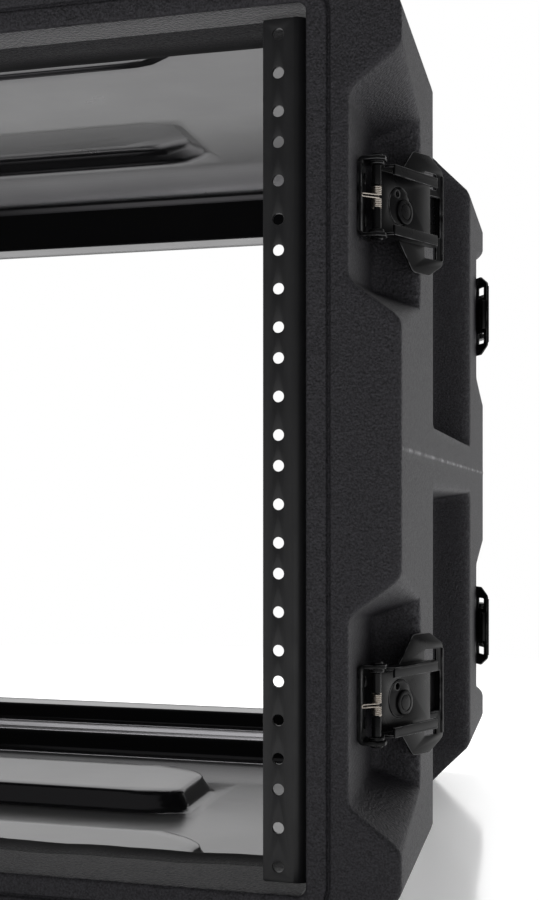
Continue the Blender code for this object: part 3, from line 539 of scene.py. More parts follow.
def hang_heights(points):
    """Height of the slow swell towards the rear at each point of the inside, a bump that tilts the gloss.

    At each depth the swell's slope is half the angle to the top of the next wall behind, less half the angle
    at which an eye at mid-height looks along the surface; its height is the running sum of the slopes. It
    fades out on the sides towards mid-height.
    """
    depth = np.linspace(0.0, 2 * HALF_DEPTH, SWELL_STEPS)
    total = np.zeros(points.shape[:2])
    z = points[..., 2] - MID_Z
    y = points[..., 1] - FRONT_Y
    for sign, flat, walls in SWELLS:
        slope = np.zeros(len(depth))
        for start, stop, rise in walls:
            angle = np.arctan2(rise, np.maximum(stop - depth, SWELL_NEAREST))
            here = (depth > start) & (depth < stop - SWELL_STOP)
            slope = np.where(here, np.clip((angle - flat) / 2, 0.0, STEEPEST_SWELL), slope)
        height = np.cumsum(np.tan(slope)) * (depth[1] - depth[0])
        share = rise_between(sign * z, *SWELL_FADE)
        total += share * np.interp(y, depth, height)
    return total


def convexity(points, normals):
    """How sharply a closed grid bends outwards at each point: the change of normal along its four edges."""
    total = np.zeros(points.shape[:2])
    for axis in (0, 1):
        for step in (-1, 1):
            way = np.roll(points, step, axis) - points
            bend = np.roll(normals, step, axis) - normals
            length = np.maximum(np.linalg.norm(way, axis=-1), SHORTEST_EDGE)
            total = np.maximum(total, np.sum(way * bend, axis=-1) / length ** 2)
    return total


def shell_values(points, mesh, outside, room):
    """Values at each point that the finishes use; outside and room are slices of sections."""
    normals = np.empty(points.size, np.float32)
    mesh.vertices.foreach_get("normal", normals)
    # Convexity drives the lighter colour on edges: partly scuffing, partly a painted edge highlight, weaker
    # inside
    wear = np.clip(convexity(points, normals.reshape(points.shape)) * WEAR_AND_HIGHLIGHT_RADIUS, 0.0, 1.0)
    wear[outside.stop:] *= INSIDE_WEAR_AND_HIGHLIGHT
    inside, hang, floor, seam = np.zeros((4, *points.shape[:2]))
    inside[room.start - ROW_COUNT:room.stop + ROW_COUNT - TEXTURED_ROWS] = 1.0
    swell = slice(room.start - ROW_COUNT, room.stop)
    hang[swell] = hang_heights(points[swell])
    floor[:, LEFT.stop:] = 1.0
    for lines in (RIGHT, LEFT):
        seam[outside, lines] = np.exp(-(MOUTH_LINES / SEAM_MARK_WIDTH) ** 2)
    return {"wear": wear, "inside": inside, "hang": hang, "floor": floor, "seam": seam}


def build_shell(finishes):
    """One closed surface: sections run back outside, round the rear, forward inside and round the front."""
    outer = in_space(with_rear([(FRONT_Y + s[0], outside_section(*s)) for s in zip(*outside_stations())]))
    rear = end_sections("rear", outer[-1])
    inner = inner_sections()
    front = end_sections("front", outer[0])
    draw_in(rear)
    draw_in(inner)
    for sections, lines, pads in ((outer, TOP, ROOF_BARS), (outer, BOTTOM, UNDERSIDE_HOLLOWS),
                                  (inner, TOP, CEILING_HOLLOWS), (inner, BOTTOM, FLOOR_PADS)):
        for sizes in pads:
            raise_pad(sections, lines, sizes)
    points = np.concatenate((outer, rear, inner[::-1], front[::-1]))
    rows = len(points)
    faces = grid_faces(rows, LINE_COUNT, True, True)[:, ::-1]
    mesh = mesh_data("shell_moulding", points.reshape(-1, 3), faces)
    room = slice(len(outer) + len(rear), rows - len(front))
    for name, values in shell_values(points, mesh, slice(0, len(outer)), room).items():
        attribute = mesh.attributes.new(name, "FLOAT", "POINT")
        attribute.data.foreach_set("value", np.ascontiguousarray(values, np.float32).ravel())
    finish = np.full((rows, LINE_COUNT), PEBBLED, np.int32)
    finish[room.start - 1:room.stop] = SATIN
    for end_name, first, order in (("rear", room.start - ROW_COUNT - 1, 1), ("front", room.stop, -1)):
        strips = [by_wall(DULL, top, bottom) for top, bottom in zip(*ROW_FINISH[end_name])]
        finish[first:first + ROW_COUNT] = strips[::order]
    add_piece("shell_moulding", mesh, "case", "moulded_shell", finishes[PEBBLED], "shell")
    for material in finishes[1:]:
        mesh.materials.append(material)
    mesh.polygons.foreach_set("material_index", finish.ravel())


# Templates of the small pieces, in millimetres, made once and copied to their places

BEVEL = 0.25
BEND_BEVEL = 0.05
RIM_SLOPE = (0.05, 0.95)
WELD = 0.002
SHARP_ANGLE = math.radians(28.0)
# Orders of coordinates that turn a solid's thickness to run across or lengthwise
ACROSS = (0, 2, 1)
LENGTHWISE = (2, 0, 1)


def rectangle(low_a, high_a, low_b, high_b):
    return np.array(((low_a, low_b), (high_a, low_b), (high_a, high_b), (low_a, high_b)))


def circle(radius, sides, centre=(0.0, 0.0)):
    return np.array(centre) + radius * directions(np.arange(sides) * 2 * math.pi / sides)


def rounded(corners, radius, steps=5):
    """A polygon whose corners are turned into arcs, each a parabola between its two tangent points."""
    corners = np.array(corners, float)
    radius = np.broadcast_to(np.asarray(radius, float), len(corners))[:, None]
    back, ahead = (unit(np.roll(corners, step, axis=0) - corners) for step in (1, -1))
    half = np.arccos(np.clip(np.sum(back * ahead, axis=1), -1.0, 1.0))[:, None] / 2
    reach = radius / np.tan(half)
    share = np.linspace(0.0, 1.0, steps + 1)[None, :, None]
    start, stop = (corners + reach * back)[:, None], (corners + reach * ahead)[:, None]
    arc = (1 - share) ** 2 * start + 2 * share * (1 - share) * corners[:, None] + share ** 2 * stop
    return arc.reshape(-1, 2)


def bend_outline(centre, inner, outer):
    """The cross section of a folded sheet's corner: a quarter ring that turns from downwards to outwards."""
    way = directions(np.radians(np.linspace(-90.0, 0.0, 7)))
    return np.concatenate((np.array(centre) + outer * way, np.array(centre) + inner * way[::-1]))


def flat_solid(low, high, bevel, *loops):
    """A filled flat curve, outline first and holes after it, thickened from low to high with bevelled edges.

    The bevels are marked as rim, where a coat gets its painted edge highlight.
    """
    curve = bpy.data.curves.new("flat", "CURVE")
    curve.dimensions = "2D"
    curve.fill_mode = "BOTH"
    curve.extrude = (high - low) / 2 - bevel
    curve.bevel_depth = bevel
    curve.bevel_resolution = 1
    curve.offset = -bevel
    for loop in loops:
        spline = curve.splines.new("POLY")
        spline.points.add(len(loop) - 1)
        places = np.concatenate((loop, np.zeros((len(loop), 1)), np.ones((len(loop), 1))), axis=1)
        spline.points.foreach_set("co", places.ravel())
        spline.use_cyclic_u = True
    item = bpy.data.objects.new("flat", curve)
    mesh = bpy.data.meshes.new_from_object(item)
    bpy.data.objects.remove(item)
    bpy.data.curves.remove(curve)
    mesh.transform(Matrix.Translation((0.0, 0.0, (low + high) / 2)))
    normals = np.empty(len(mesh.polygons) * 3, np.float32)
    mesh.polygons.foreach_get("normal", normals)
    upright = np.abs(normals[2::3])
    rim = mesh.attributes.new("rim", "FLOAT", "FACE")
    sloping = (upright > RIM_SLOPE[0]) & (upright < RIM_SLOPE[1])
    rim.data.foreach_set("value", sloping.astype(np.float32))
    return mesh


def closed_rings(points):
    """A mesh of rings of points, one after another, with both end rings filled."""
    rings, sides = points.shape[:2]
    faces = grid_faces(rings, sides, close_columns=True).tolist()
    first = np.arange(sides)
    ends = [first[::-1].tolist(), (first + (rings - 1) * sides).tolist()]
    mesh = bpy.data.meshes.new("rings")
    mesh.from_pydata(points.reshape(-1, 3), [], faces + ends)
    return mesh


def lathe(profile, centre=(0.0, 0.0), sides=36):
    """A profile of radius and height turned about an upright axis."""
    profile = np.array(profile)
    places = np.array(centre) + profile[:, 0, None, None] * circle(1.0, sides)
    heights = np.broadcast_to(profile[:, 1, None, None], (*places.shape[:2], 1))
    return closed_rings(np.concatenate((places, heights), axis=-1))


def tube(path, across, radius, sides=10):
    """A round wire along a path; across is a direction at right angles to the path at each point."""
    ahead = unit(np.gradient(path, axis=0))
    across = unit(across - np.sum(across * ahead, axis=1)[:, None] * ahead)
    other = np.cross(ahead, across)
    ring = circle(radius, sides)
    return closed_rings(path[:, None] + ring[:, :1] * across[:, None] + ring[:, 1:] * other[:, None])


def turned(mesh, order):
    """The mesh with its coordinates taken in another order."""
    places = np.empty(len(mesh.vertices) * 3, np.float32)
    mesh.vertices.foreach_get("co", places)
    mesh.vertices.foreach_set("co", np.ascontiguousarray(places.reshape(-1, 3)[:, order]).ravel())
    return mesh


def joined(name, *parts):
    """One mesh of several closed parts, faces outward, smooth but for its sharp edges."""
    work = bmesh.new()
    for part in parts:
        work.from_mesh(part)
        bpy.data.meshes.remove(part)
    bmesh.ops.remove_doubles(work, verts=work.verts, dist=WELD)
    bmesh.ops.recalc_face_normals(work, faces=work.faces)
    mesh = bpy.data.meshes.new(name)
    work.to_mesh(mesh)
    work.free()
    mesh.shade_smooth()
    mesh.set_sharp_from_angle(angle=SHARP_ANGLE)
    return mesh


def placed(name, template, matrix):
    """A copy of a template at its place, with its faces kept outward."""
    mesh = template.copy()
    mesh.name = name
    mesh.transform(matrix)
    if matrix.determinant() < 0:
        mesh.flip_normals()
    return mesh


def place_matrix(origin, first, second, third):
    """Maps a template's three axes, in millimetres, onto three directions from an origin."""
    matrix = (Matrix((first, second, third)).transposed() * MM).to_4x4()
    matrix.translation = origin
    return matrix


# Rack rails: across from the leg, up from mid-height, and back from the face, in mm

RAIL_FACE = 19.1
RAIL_LEG = 28.0
RAIL_SHEET = 2.0
RAIL_BEND = 6.5
RAIL_HALF = 177.8
RAIL_HOLE = 2.4
RACK_UNIT = 44.45
UNIT_HOLES = (6.35, 22.225, 38.1)
RAIL_UNITS = 8
HOLE_COLUMN = 232.55 * MM
RAIL_LAP = 0.4
RAIL_SCREWS = (-150.0, 0.0, 150.0)
SCREW_SETBACK = RAIL_LEG * 0.6
SCREW_PROFILE = ((4.2, -0.2), (4.3, 0.5), (3.9, 1.2), (3.0, 1.8), (1.6, 2.1), (1.5, 1.2), (0.6, 1.2))


def rail_template():
    """A folded angle: a face with 24 round holes, a bend, and a leg held by three domed screws."""
    column = (rail_high.x - HOLE_COLUMN) / MM
    heights = [step * RACK_UNIT + hole - RAIL_HALF for step in range(RAIL_UNITS) for hole in UNIT_HOLES]
    holes = [circle(RAIL_HOLE, 32, (column, height)) for height in heights]
    edge = RAIL_BEND - RAIL_LAP
    face = rounded(rectangle(edge, RAIL_FACE, -RAIL_HALF, RAIL_HALF), (0.3, 1.2, 1.2, 0.3))
    leg = rounded(rectangle(-RAIL_HALF, RAIL_HALF, edge, RAIL_LEG), (0.3, 0.3, 1.2, 1.2))
    bend = bend_outline((0.0, 0.0), RAIL_BEND - RAIL_SHEET, RAIL_BEND)
    bend = RAIL_BEND - bend[:, ::-1] * (-1.0, 1.0)
    parts = [flat_solid(0.0, RAIL_SHEET, BEVEL, face, *holes)]
    parts.append(turned(flat_solid(0.0, RAIL_SHEET, BEVEL, leg), LENGTHWISE))
    parts.append(turned(flat_solid(-RAIL_HALF, RAIL_HALF, 0.02, bend), ACROSS))
    for height in RAIL_SCREWS:
        screw = lathe(SCREW_PROFILE)
        screw.transform(Matrix.Translation((height, SCREW_SETBACK, RAIL_SHEET)))
        parts.append(turned(screw, LENGTHWISE))
    return joined("rail_template", *parts)


def build_rails(material):
    template = rail_template()
    for end_name, end in ENDS.items():
        for side_name, side in SIDES.items():
            name = f"{end_name}_{side_name}_rail"
            origin = Vector((side * rail_high.x, -end * rail_low.y, MID_Z))
            matrix = place_matrix(origin, (-side, 0, 0), (0, 0, 1), (0, -end, 0))
            add_piece(name + "_angle", placed(name, template, matrix), "case", "rail_steel", material, name)


# Latches: along the arm, along the pin and away from the case, counted from the hinge axis, in mm

SHEET = 1.2
ARM_HALF = 14.8
ARM_START = 7.5
ARM_WEB_END = 47.0
ARM_END = 47.5
WEB = (-5.2, -4.0)
ARM_BEND = 1.8
ARM_LAP = 0.25
FLANGE_BEVEL = 0.22
ARM_LIP = 4.4
ARM_BORE = 1.75
EAR_RADIUS = 3.2
EAR_TURNS = np.radians(np.linspace(75.0, 285.0, 15))
TURN_PLACE = 23.0
WINDOW_RADIUS = 8.4
DISC_RADIUS = 8.1
PLATE = (-6.7, -5.5)
PLATE_HALF = ((11.0, 13.0), (24.0, 13.0), (36.0, 26.5), (49.0, 26.5), (59.7, 21.0))
PLATE_ROUND = (1.0, 4.0, 4.5, 4.0, 3.0)
HOOK_BEVEL = 0.08
BASE = (-7.2, -5.6)
BASE_REACH = (-4.5, 9.0)
EAR = (15.1, 16.7)
BASE_BEND = 2.4
BASE_LAP = 0.3
BASE_BORE = 1.5
BORE_SIDES = 24
RIVETS = ((4.2, -8.6), (4.2, 8.6))
COIL_RADIUS = 1.75
COIL_TURNS = 5
COIL_SPAN = (0.75, 4.45)
WIRE = 0.36
# Tips of the spring's loop and legs: along the arm and away from the case
LOOP_TIP = (-7.3, -5.1)
LOOP_HALF = 0.62
LEG_TIP = (7.3, -3.45)
LEG_CORNER = 0.9


def both_sides(solid, order):
    """A solid beside the middle of a latch, turned, and its mirror image on the other side."""
    solid = turned(solid, order)
    other = solid.copy()
    other.transform(Matrix.Scale(-1.0, 4, (0.0, 1.0, 0.0)))
    return [solid, other]


def base_template():
    """A bracket folded from sheet: a floor held by two rivets, and two ears with a hole for the pin."""
    low, high = BASE
    half = EAR[1] - BASE_BEND + BASE_LAP
    floor = rounded(rectangle(*BASE_REACH, -half, half), 0.6)
    ear = ((-4.5, -5.3), (9.0, -5.3), (9.0, -1.2), (6.6, 2.6), (3.0, 4.0), (-2.4, 4.0), (-4.5, 1.2))
    ear = rounded(ear, (0.3, 0.3, 1.0, 1.5, 2.0, 1.8, 1.4))
    bend = bend_outline((EAR[1] - BASE_BEND, low + BASE_BEND), BASE_BEND - (high - low), BASE_BEND)
    parts = [flat_solid(low, high, BEVEL, floor)]
    parts += both_sides(flat_solid(*EAR, BEVEL, ear, circle(BASE_BORE, BORE_SIDES)), ACROSS)
    parts += both_sides(flat_solid(*BASE_REACH, BEND_BEVEL, bend), LENGTHWISE)
    rivet = ((2.6, high - 0.1), (2.6, high + 0.3), (2.2, high + 0.75), (1.2, high + 1.05), (0.3, high + 1.1))
    return joined("latch_base", *parts, *(lathe(rivet, place) for place in RIVETS))


def pin_template():
    """A pin with domed heads, a sleeve on each side and a thin core inside the spring."""
    half = ((1.0, 5.15), (1.9, 5.15), (1.95, 5.3), (1.95, 13.1), (1.8, 13.3), (1.4, 13.3), (1.4, 16.95),
            (2.5, 16.95), (2.7, 17.15), (2.7, 17.5), (2.3, 17.85), (1.3, 18.05), (0.3, 18.1))
    profile = [(radius, -place) for radius, place in half[::-1]] + list(half)
    return joined("hinge_pin", turned(lathe(profile, sides=24), ACROSS))


def leave_coil(tip):
    """Where a straight wire to a tip leaves the coil on its outer side, its direction and its length."""
    turn = math.atan2(tip[1], tip[0])
    turn += math.copysign(math.acos(COIL_RADIUS / math.hypot(*tip)), tip[0])
    start = COIL_RADIUS * directions(turn)
    return start, unit(tip - start), np.linalg.norm(tip - start)


def bent_wire(start, ahead, along, pin):
    """A wire through points that are given along a direction and along the pin."""
    path = np.stack((start[0] + ahead[0] * along, pin, start[1] + ahead[1] * along), axis=-1)
    return tube(path, (-ahead[1], 0.0, ahead[0]), WIRE)


def spring_template():
    """Two coils, and a hairpin loop between them that rests on the base towards the case's end."""
    turn = np.linspace(0.0, 2 * math.pi * COIL_TURNS, 24 * COIL_TURNS + 1)
    place = np.linspace(*COIL_SPAN, len(turn))
    around = np.stack((COIL_RADIUS * np.cos(turn), 0 * turn, COIL_RADIUS * np.sin(turn)), axis=-1)
    coils = [tube(around + (0.0, 1.0, 0.0) * (side * place)[:, None], around, WIRE) for side in (-1, 1)]
    start, ahead, length = leave_coil(LOOP_TIP)
    swing = np.radians(np.linspace(-90.0, 90.0, 13))
    reach = length - LOOP_HALF
    along = np.concatenate(([0.0, reach / 2], reach + LOOP_HALF * np.cos(swing), [reach / 2, 0.0]))
    pin = LOOP_HALF * np.concatenate(([-1.0, -1.0], np.sin(swing), [1.0, 1.0]))
    return joined("torsion_spring", *coils, bent_wire(start, ahead, along, pin))


def spring_legs_template():
    """The wire from each coil's outer end to the arm's near edge, turned outwards to lie along it."""
    start, ahead, reach = leave_coil(LEG_TIP)
    share = np.linspace(0.0, 1.0, 9)
    along = np.concatenate(([0.0, reach / 2], reach - LEG_CORNER * (1 - share) ** 2, [reach, reach]))
    pin = COIL_SPAN[1] + np.concatenate(([0.0, 0.0], LEG_CORNER * share ** 2, [2.5, 4.4]))
    return joined("spring_legs", *(bent_wire(start, ahead, along, side * pin) for side in (-1, 1)))


def arm_template():
    """A channel folded from sheet: a web with a round window, and lipped flanges that run on to the pin."""
    inside = ARM_HALF - SHEET
    edge = ARM_HALF - ARM_BEND
    web = rounded(rectangle(ARM_START, ARM_WEB_END, -edge - ARM_LAP, edge + ARM_LAP), 0.4)
    tip = rounded(((ARM_START, -3.65), (ARM_END, -3.65), (ARM_END, -1.6), (44.5, 1.5), (ARM_START, 3.2)),
                  (0.3, 0.6, 0.8, 1.5, 4.0))
    flange = np.concatenate((EAR_RADIUS * directions(EAR_TURNS), tip))
    lip = rounded(((9.0, 1.95), (44.7, 0.3), (44.4, 1.5), (9.0, 3.13)), 0.3)
    bend = bend_outline((edge, WEB[0] + ARM_BEND), ARM_BEND - SHEET, ARM_BEND)
    parts = [flat_solid(*WEB, 0.2, web, circle(WINDOW_RADIUS, 48, (TURN_PLACE, 0.0)))]
    bore = circle(ARM_BORE, BORE_SIDES)
    parts += both_sides(flat_solid(inside, ARM_HALF, FLANGE_BEVEL, flange, bore), ACROSS)
    parts += both_sides(flat_solid(ARM_HALF - ARM_LIP, ARM_HALF, FLANGE_BEVEL, lip), ACROSS)
    parts += both_sides(flat_solid(ARM_START, ARM_WEB_END, BEND_BEVEL, bend), LENGTHWISE)
    return joined("latch_arm", *parts)


def plate_template():
    """A shield-shaped plate under the web: a yoke for the cam, a slot at each side and a hollow hooked tail.

    The hook's floor slopes down from the web's end to a wall below the lip, with a cheek at each side.
    """
    outline_half = np.array(PLATE_HALF)
    corners = np.concatenate((outline_half, outline_half[::-1] * (1.0, -1.0)))
    shield = rounded(corners, PLATE_ROUND + PLATE_ROUND[::-1])
    yoke = rounded(rectangle(20.45, 30.35, -7.35, 7.35), 0.6)
    slots = [rounded(rectangle(45.0, 54.5, low, low + 7.0), 1.0) for low in (-19.0, 12.0)]
    tail = rounded(rectangle(48.5, 57.5, -9.0, 9.0), 0.8)
    lip = rounded(rectangle(58.3, 59.7, -19.0, 19.0), 0.5)
    hook = ((48.4, -6.65), (57.6, -9.1), (58.2, -8.8), (58.2, -5.8), (57.5, -5.8), (57.5, -8.35),
            (48.4, -6.0))
    cheek = ((49.0, -6.7), (57.9, -9.0), (57.9, -6.2), (49.0, -6.2))
    return joined(
        "draw_plate",
        flat_solid(*PLATE, BEVEL, shield, yoke, *slots, tail),
        flat_solid(PLATE[0] + 0.3, -5.0, 0.2, lip),
        turned(flat_solid(-9.3, 9.3, HOOK_BEVEL, np.array(hook)), ACROSS),
        *both_sides(flat_solid(8.9, 9.6, HOOK_BEVEL, np.array(cheek)), ACROSS),
    )


def handle_template():
    """A wing and hub behind the plate, the eccentric cam, a disc in the window and an off-centre cap."""
    wing = rounded(rectangle(TURN_PLACE - 2.5, TURN_PLACE + 2.5, -9.0, 9.0), 2.3)
    hub = ((6.7, -9.2), (7.0, -8.9), (7.0, -7.3), (6.8, -7.0))
    cam = ((4.2, -7.1), (4.2, -5.1))
    cap = ((5.5, -3.95), (5.5, -3.05), (5.3, -2.75), (4.9, -2.6), (3.9, -2.6), (3.75, -2.85), (3.35, -2.85),
           (3.2, -2.6), (2.2, -2.45), (0.6, -2.4))
    disc = circle(DISC_RADIUS, 48, (TURN_PLACE, 0.0)), circle(1.5, 20, (TURN_PLACE - 1.5, 5.2))
    return joined(
        "turn_handle",
        flat_solid(-13.2, -9.1, 0.8, wing),
        lathe(hub, (TURN_PLACE, 0.0)),
        lathe(cam, (TURN_PLACE + 2.4, 0.0)),
        flat_solid(-5.2, -3.85, 0.35, *disc),
        lathe(cap, (TURN_PLACE + 3.0, -2.0)),
    )


def build_latches(coat, wire):
    """Each latch is the same part, turned so that its arm points away from its end of the case."""
    steel, spring = ("latch_steel", coat), ("spring_wire", wire)
    fixed = ((base_template(), steel), (pin_template(), steel), (spring_template(), spring))
    moving = (("arm", arm_template()), ("plate", plate_template()), ("handle", handle_template()))
    legs = spring_legs_template()
    for latch in [name[:-len("_swing")] for name in joints if name.endswith("_swing")]:
        origin = Vector(joints[latch + "_swing"]["pos_m"])
        away = Vector(joints[latch + "_turn"]["axis"]).normalized()
        along = -Vector(joints[latch + "_draw"]["axis"]).normalized()
        pin = away.cross(along)
        out = Vector((math.copysign(1.0, origin.x), 0.0, 0.0))
        folded = place_matrix(origin, along, pin, away)
        square = place_matrix(origin, pin.cross(out), pin, out)
        for template, look in fixed:
            name = f"{latch}_{template.name}"
            add_piece(name + "_piece", placed(name, template, square), "case", *look, name)
        for body, template in moving:
            name = f"{latch}_{template.name}"
            add_piece(name + "_piece", placed(name, template, folded), f"{latch}_{body}", *steel, name)
        name = latch + "_spring_legs"
        add_piece(name, placed(name, legs, folded), latch + "_arm", *spring)


# Materials

class Nodes:
    """Short ways to add and link the nodes of a material or a world."""

    def __init__(self, owner, shader):
        owner.use_nodes = True
        self.owner = owner
        self.tree = owner.node_tree
        self.shader = self.tree.nodes[shader]

    def put(self, socket, value):
        """Link an output to a socket, or set the socket's own value."""
        if isinstance(value, bpy.types.NodeSocket):
            self.tree.links.new(value, socket)
        else:
            socket.default_value = value

    def fill(self, node, sockets):
        """Put a value in each named socket, with underscores for spaces."""
        for socket, value in sockets.items():
            self.put(node.inputs[socket.replace("_", " ")], value)
        return node

    def add(self, kind, *values, **sockets):
        """A new node with values in its first sockets, or in sockets by name."""
        node = self.tree.nodes.new("ShaderNode" + kind)
        for socket, value in zip(node.inputs, values):
            self.put(socket, value)
        return self.fill(node, sockets)

    def set(self, **sockets):
        self.fill(self.shader, sockets)
        return self.owner

    def math(self, operation, a, b, clamp=False):
        node = self.add("Math", a, b)
        node.operation = operation
        node.use_clamp = clamp
        return node.outputs[0]

    def times(self, a, b, clamp=False):
        return self.math("MULTIPLY", a, b, clamp)

    def blend(self, share, a, b):
        """Mix two colours or outputs of colour."""
        node = self.tree.nodes.new("ShaderNodeMix")
        node.data_type = "RGBA"
        for socket, value in zip((0, 6, 7), (share, a, b)):
            self.put(node.inputs[socket], value)
        return node.outputs[2]

    def place(self):
        return self.add("TexCoord").outputs["Object"]

    def noise(self, scale, detail=2.0, roughness=0.5):
        node = self.add("TexNoise", Vector=self.place(), Scale=scale, Detail=detail, Roughness=roughness)
        return node.outputs["Fac"]

    def attribute(self, name):
        node = self.add("Attribute")
        node.attribute_name = name
        return node.outputs["Fac"]

    def span(self, value, low, high, to_low, to_high, kind="LINEAR"):
        """Stretch a value from one range to another, held at the ends."""
        node = self.add("MapRange", value, low, high, to_low, to_high)
        node.interpolation_type = kind
        return node.outputs[0]

    def bump(self, height, strength, distance, **normal):
        node = self.add("Bump", Height=height, Strength=strength, Distance=distance, **normal)
        return node.outputs["Normal"]


def material_nodes(name, colour, roughness, metallic=0.0):
    """The nodes of a new material, with its plain colour and finish set on the shader."""
    n = Nodes(bpy.data.materials.new(name), "Principled BSDF")
    n.set(Base_Color=(*colour, 1.0), Roughness=roughness, Metallic=metallic)
    return n


def moulded_polyethylene(name, specular, sheen, ceiling_roughness, floor_roughness):
    """Black moulding: pebbled and matt outside, its convex edges painted lighter as scuffing and as a painted
    edge highlight, smooth inside, glossiest on the floor.
    """
    n = material_nodes(name, (0.016, 0.016, 0.018), 0.5)
    inside = n.attribute("inside")
    wear = n.attribute("wear")
    cells = n.add("TexVoronoi", Vector=n.place(), Scale=700.0).outputs["Distance"]
    pebble = n.math("ADD", n.times(cells, 0.7), n.noise(1100.0, 3.0))
    # Painted edge highlight mixed with scuffing: convex edges lightened towards grey in noise patches
    scuff_and_highlight = n.times(wear, n.span(n.noise(420.0, 4.0, 0.7), 0.45, 0.7, 0.0, 1.0), True)
    line = n.times(n.attribute("seam"), n.span(n.noise(60.0, 3.0), 0.45, 0.62, 0.15, 1.0), True)
    speckle = n.span(n.noise(1300.0, 2.0), 0.35, 0.65, 0.0, 1.0)
    mottled = n.blend(speckle, (0.007, 0.007, 0.008, 1.0), (0.030, 0.029, 0.034, 1.0))
    worn_and_highlit = n.blend(n.times(scuff_and_highlight, 0.5), mottled, (0.18, 0.18, 0.19, 1.0))
    seamed = n.blend(line, worn_and_highlit, (0.30, 0.30, 0.31, 1.0))
    colour = n.blend(inside, seamed, (0.012, 0.012, 0.013, 1.0))
    rough_out = n.span(pebble, 0.3, 1.2, 0.5, 0.68)
    smooth = n.span(n.attribute("floor"), 0.0, 1.0, ceiling_roughness, floor_roughness)
    rough_in = n.times(smooth, n.span(n.noise(16.0, 3.0), 0.3, 0.7, 0.9, 1.1))
    outside = n.math("SUBTRACT", 1.0, inside)
    roughness = n.math("ADD", n.times(rough_out, outside), n.times(rough_in, inside))
    grain = n.bump(n.times(pebble, outside), 0.8, 0.6 * MM)
    ripple = n.times(n.times(n.noise(22.0, 2.0), inside), 0.25 * MM)
    normal = n.bump(n.math("ADD", ripple, n.attribute("hang")), 1.0, 1.0, Normal=grain)
    return n.set(Base_Color=colour, Roughness=roughness, Normal=normal, Specular_IOR_Level=specular,
                 Specular_Tint=(0.97, 0.95, 1.0, 1.0), Sheen_Weight=sheen, Sheen_Roughness=0.4)


def powder_coat(name, colour, roughness, specular, rim_wear):
    """Satin black powder coat: fine orange peel, a little mottling, and rims painted light grey in patches as
    a painted edge highlight.
    """
    n = material_nodes(name, colour, roughness)
    peel = n.noise(1700.0, 2.0)
    tone = n.blend(n.noise(45.0, 3.0), (*colour, 1.0), (*(1.5 * c for c in colour), 1.0))
    rough = n.span(n.noise(90.0, 3.0), 0.3, 0.7, roughness - 0.05, roughness + 0.06)
    # Painted edge highlight: bevelled rims lightened to grey in noise patches, standing in for glints on
    # rounded edges
    highlight_patch = n.span(n.noise(140.0, 3.0), 0.42, 0.58, 0.0, rim_wear)
    worn_and_highlit = n.blend(n.times(n.attribute("rim"), highlight_patch), tone, (0.50, 0.50, 0.51, 1.0))
    bump = n.bump(peel, 0.12, 0.08 * MM)
    return n.set(Base_Color=worn_and_highlit, Roughness=rough, Normal=bump, Specular_IOR_Level=specular)


def spring_steel():
    """Bright drawn wire with faint streaks."""
    n = material_nodes("spring_steel", (0.78, 0.76, 0.72), 0.26, 1.0)
    tone = n.blend(n.noise(900.0, 3.0), (0.42, 0.37, 0.32, 1.0), (0.70, 0.65, 0.59, 1.0))
    return n.set(Base_Color=tone, Roughness=n.span(n.noise(800.0, 3.0), 0.3, 0.7, 0.2, 0.36))


# Stage: floor, light and camera

WHITE = (1.0, 1.0, 1.0, 1.0)
FLOOR_REACH = 6.0
FLOOR_LIFT = 0.2
FLOOR_POLISH = 0.48
FLOOR_POLISH_ROUGHNESS = 0.13
# Distance from the case's middle over which the floor turns white
FLOOR_FADE = (0.55, 1.1)
# Strength of the dim room in front, and of the light that isn't reflected in gloss
ROOM_LEVEL = 0.14
SOFT_LEVEL = 0.5
# How far back a way has to point to meet the edge of the backdrop and its full white
BACKDROP = (0.5, 0.92)
KEY_PLACE = (-0.3, 0.5, 2.1)
KEY_SIZE = 1.3
KEY_POWER = 26.0
CAMERA_PLACE = (0.3508, -0.8288, 0.1976)
CAMERA_TURN = math.radians(17.17)
CAMERA_LENS = 57.68
CAMERA_SHIFT = (0.1521, 0.0581)
SENSOR_HEIGHT = 36.0


def build_stage():
    """A pale polished floor that keeps the shadow, lifted for the camera and white all over further off."""
    corners = rectangle(-FLOOR_REACH, FLOOR_REACH, -FLOOR_REACH, FLOOR_REACH)
    mesh = mesh_data("floor", np.pad(corners, ((0, 0), (0, 1))), np.array(((0, 1, 2, 3),)))
    n = material_nodes("pale_floor", (0.9, 0.9, 0.9), 0.6)
    path = n.add("LightPath").outputs
    seen = n.math("MAXIMUM", path["Is Camera Ray"], path["Is Glossy Ray"])
    seen = n.math("MAXIMUM", seen, path["Is Transmission Ray"])
    lift = n.add("Emission", Color=WHITE, Strength=n.times(seen, FLOOR_LIFT))
    tone = (FLOOR_POLISH, FLOOR_POLISH, FLOOR_POLISH, 1.0)
    polish = n.add("BsdfAnisotropic", Color=tone, Roughness=FLOOR_POLISH_ROUGHNESS)
    near = n.shader
    for layer in (lift, polish):
        near = n.add("AddShader", near.outputs[0], layer.outputs[0])
    far = n.add("VectorMath", n.place())
    far.operation = "LENGTH"
    white = n.add("Emission", Color=WHITE, Strength=1.0)
    share = n.span(far.outputs["Value"], *FLOOR_FADE, 0.0, 1.0)
    blend = n.add("MixShader", share, near.outputs[0], white.outputs[0])
    n.put(n.tree.nodes["Material Output"].inputs["Surface"], blend.outputs[0])
    mesh.materials.append(n.owner)
    floor = new_object("floor", mesh)


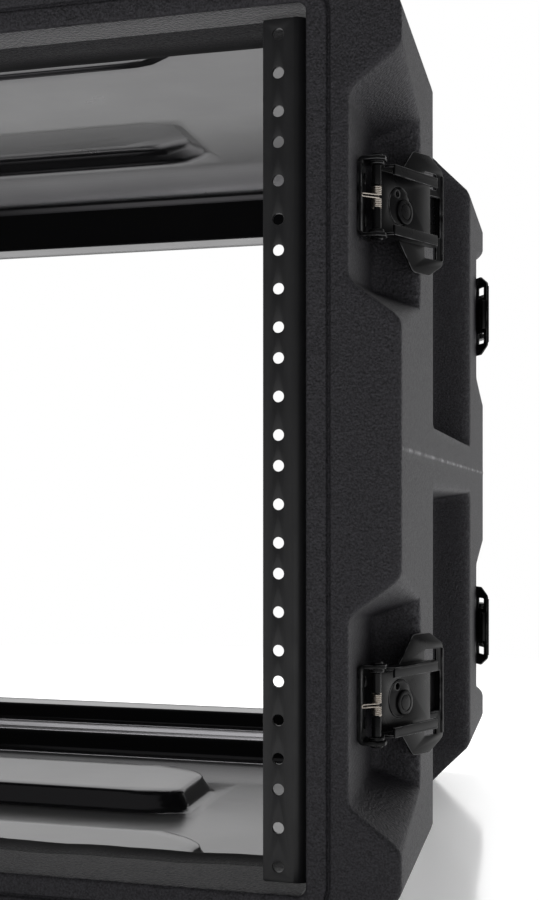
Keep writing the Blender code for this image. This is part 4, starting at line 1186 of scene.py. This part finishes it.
def build_world():
    """White for the camera; reflections see a white backdrop behind the case and a dim room before it."""
    bpy.context.scene.world = bpy.data.worlds.new("studio")
    n = Nodes(bpy.context.scene.world, "Background")
    path = n.add("LightPath").outputs
    way = n.add("SeparateXYZ", n.add("TexCoord").outputs["Generated"])
    backdrop = n.span(way.outputs["Y"], *BACKDROP, ROOM_LEVEL, 1.0, "SMOOTHSTEP")
    level = n.span(path["Is Glossy Ray"], 0.0, 1.0, SOFT_LEVEL, backdrop)
    for ray in ("Is Transmission Ray", "Is Camera Ray"):
        level = n.span(path[ray], 0.0, 1.0, level, 1.0)
    n.set(Color=WHITE, Strength=level)


def build_light():
    """One square lamp high behind the case, aimed at its middle."""
    lamp = bpy.data.lights.new("key", "AREA")
    lamp.shape = "RECTANGLE"
    lamp.size = lamp.size_y = KEY_SIZE
    lamp.energy = KEY_POWER
    item = new_object("key", lamp)
    item.location = KEY_PLACE
    item.rotation_euler = (-Vector(KEY_PLACE)).to_track_quat("-Z", "Y").to_euler()


def build_camera():
    """The camera of the photo: level, with its picture shifted as a crop of a larger one."""
    data = bpy.data.cameras.new("camera")
    data.sensor_fit = "VERTICAL"
    data.sensor_height = SENSOR_HEIGHT
    data.lens = CAMERA_LENS
    data.shift_x, data.shift_y = CAMERA_SHIFT
    camera = new_object("camera", data)
    camera.location = CAMERA_PLACE
    camera.rotation_euler = (math.radians(90.0), 0.0, CAMERA_TURN)
    bpy.context.scene.camera = camera


build_stage()
build_world()
build_camera()
build_light()
bpy.context.scene.view_settings.view_transform = "Standard"

shell_finishes = (
    moulded_polyethylene("pebbled_polyethylene", 0.42, 0.0, 0.3, 0.2),
    moulded_polyethylene("satin_polyethylene", 0.8, 0.3, 0.3, 0.2),
    moulded_polyethylene("dull_polyethylene", 0.06, 0.0, 0.85, 0.85),
)
rail_finish = powder_coat("rail_powder_coat", (0.010, 0.010, 0.011), 0.42, 0.45, 0.02)
latch_finish = powder_coat("latch_powder_coat", (0.004, 0.004, 0.0044), 0.3, 0.17, 0.2)
wire_finish = spring_steel()

build_shell(shell_finishes)
build_rails(rail_finish)
build_latches(latch_finish, wire_finish)
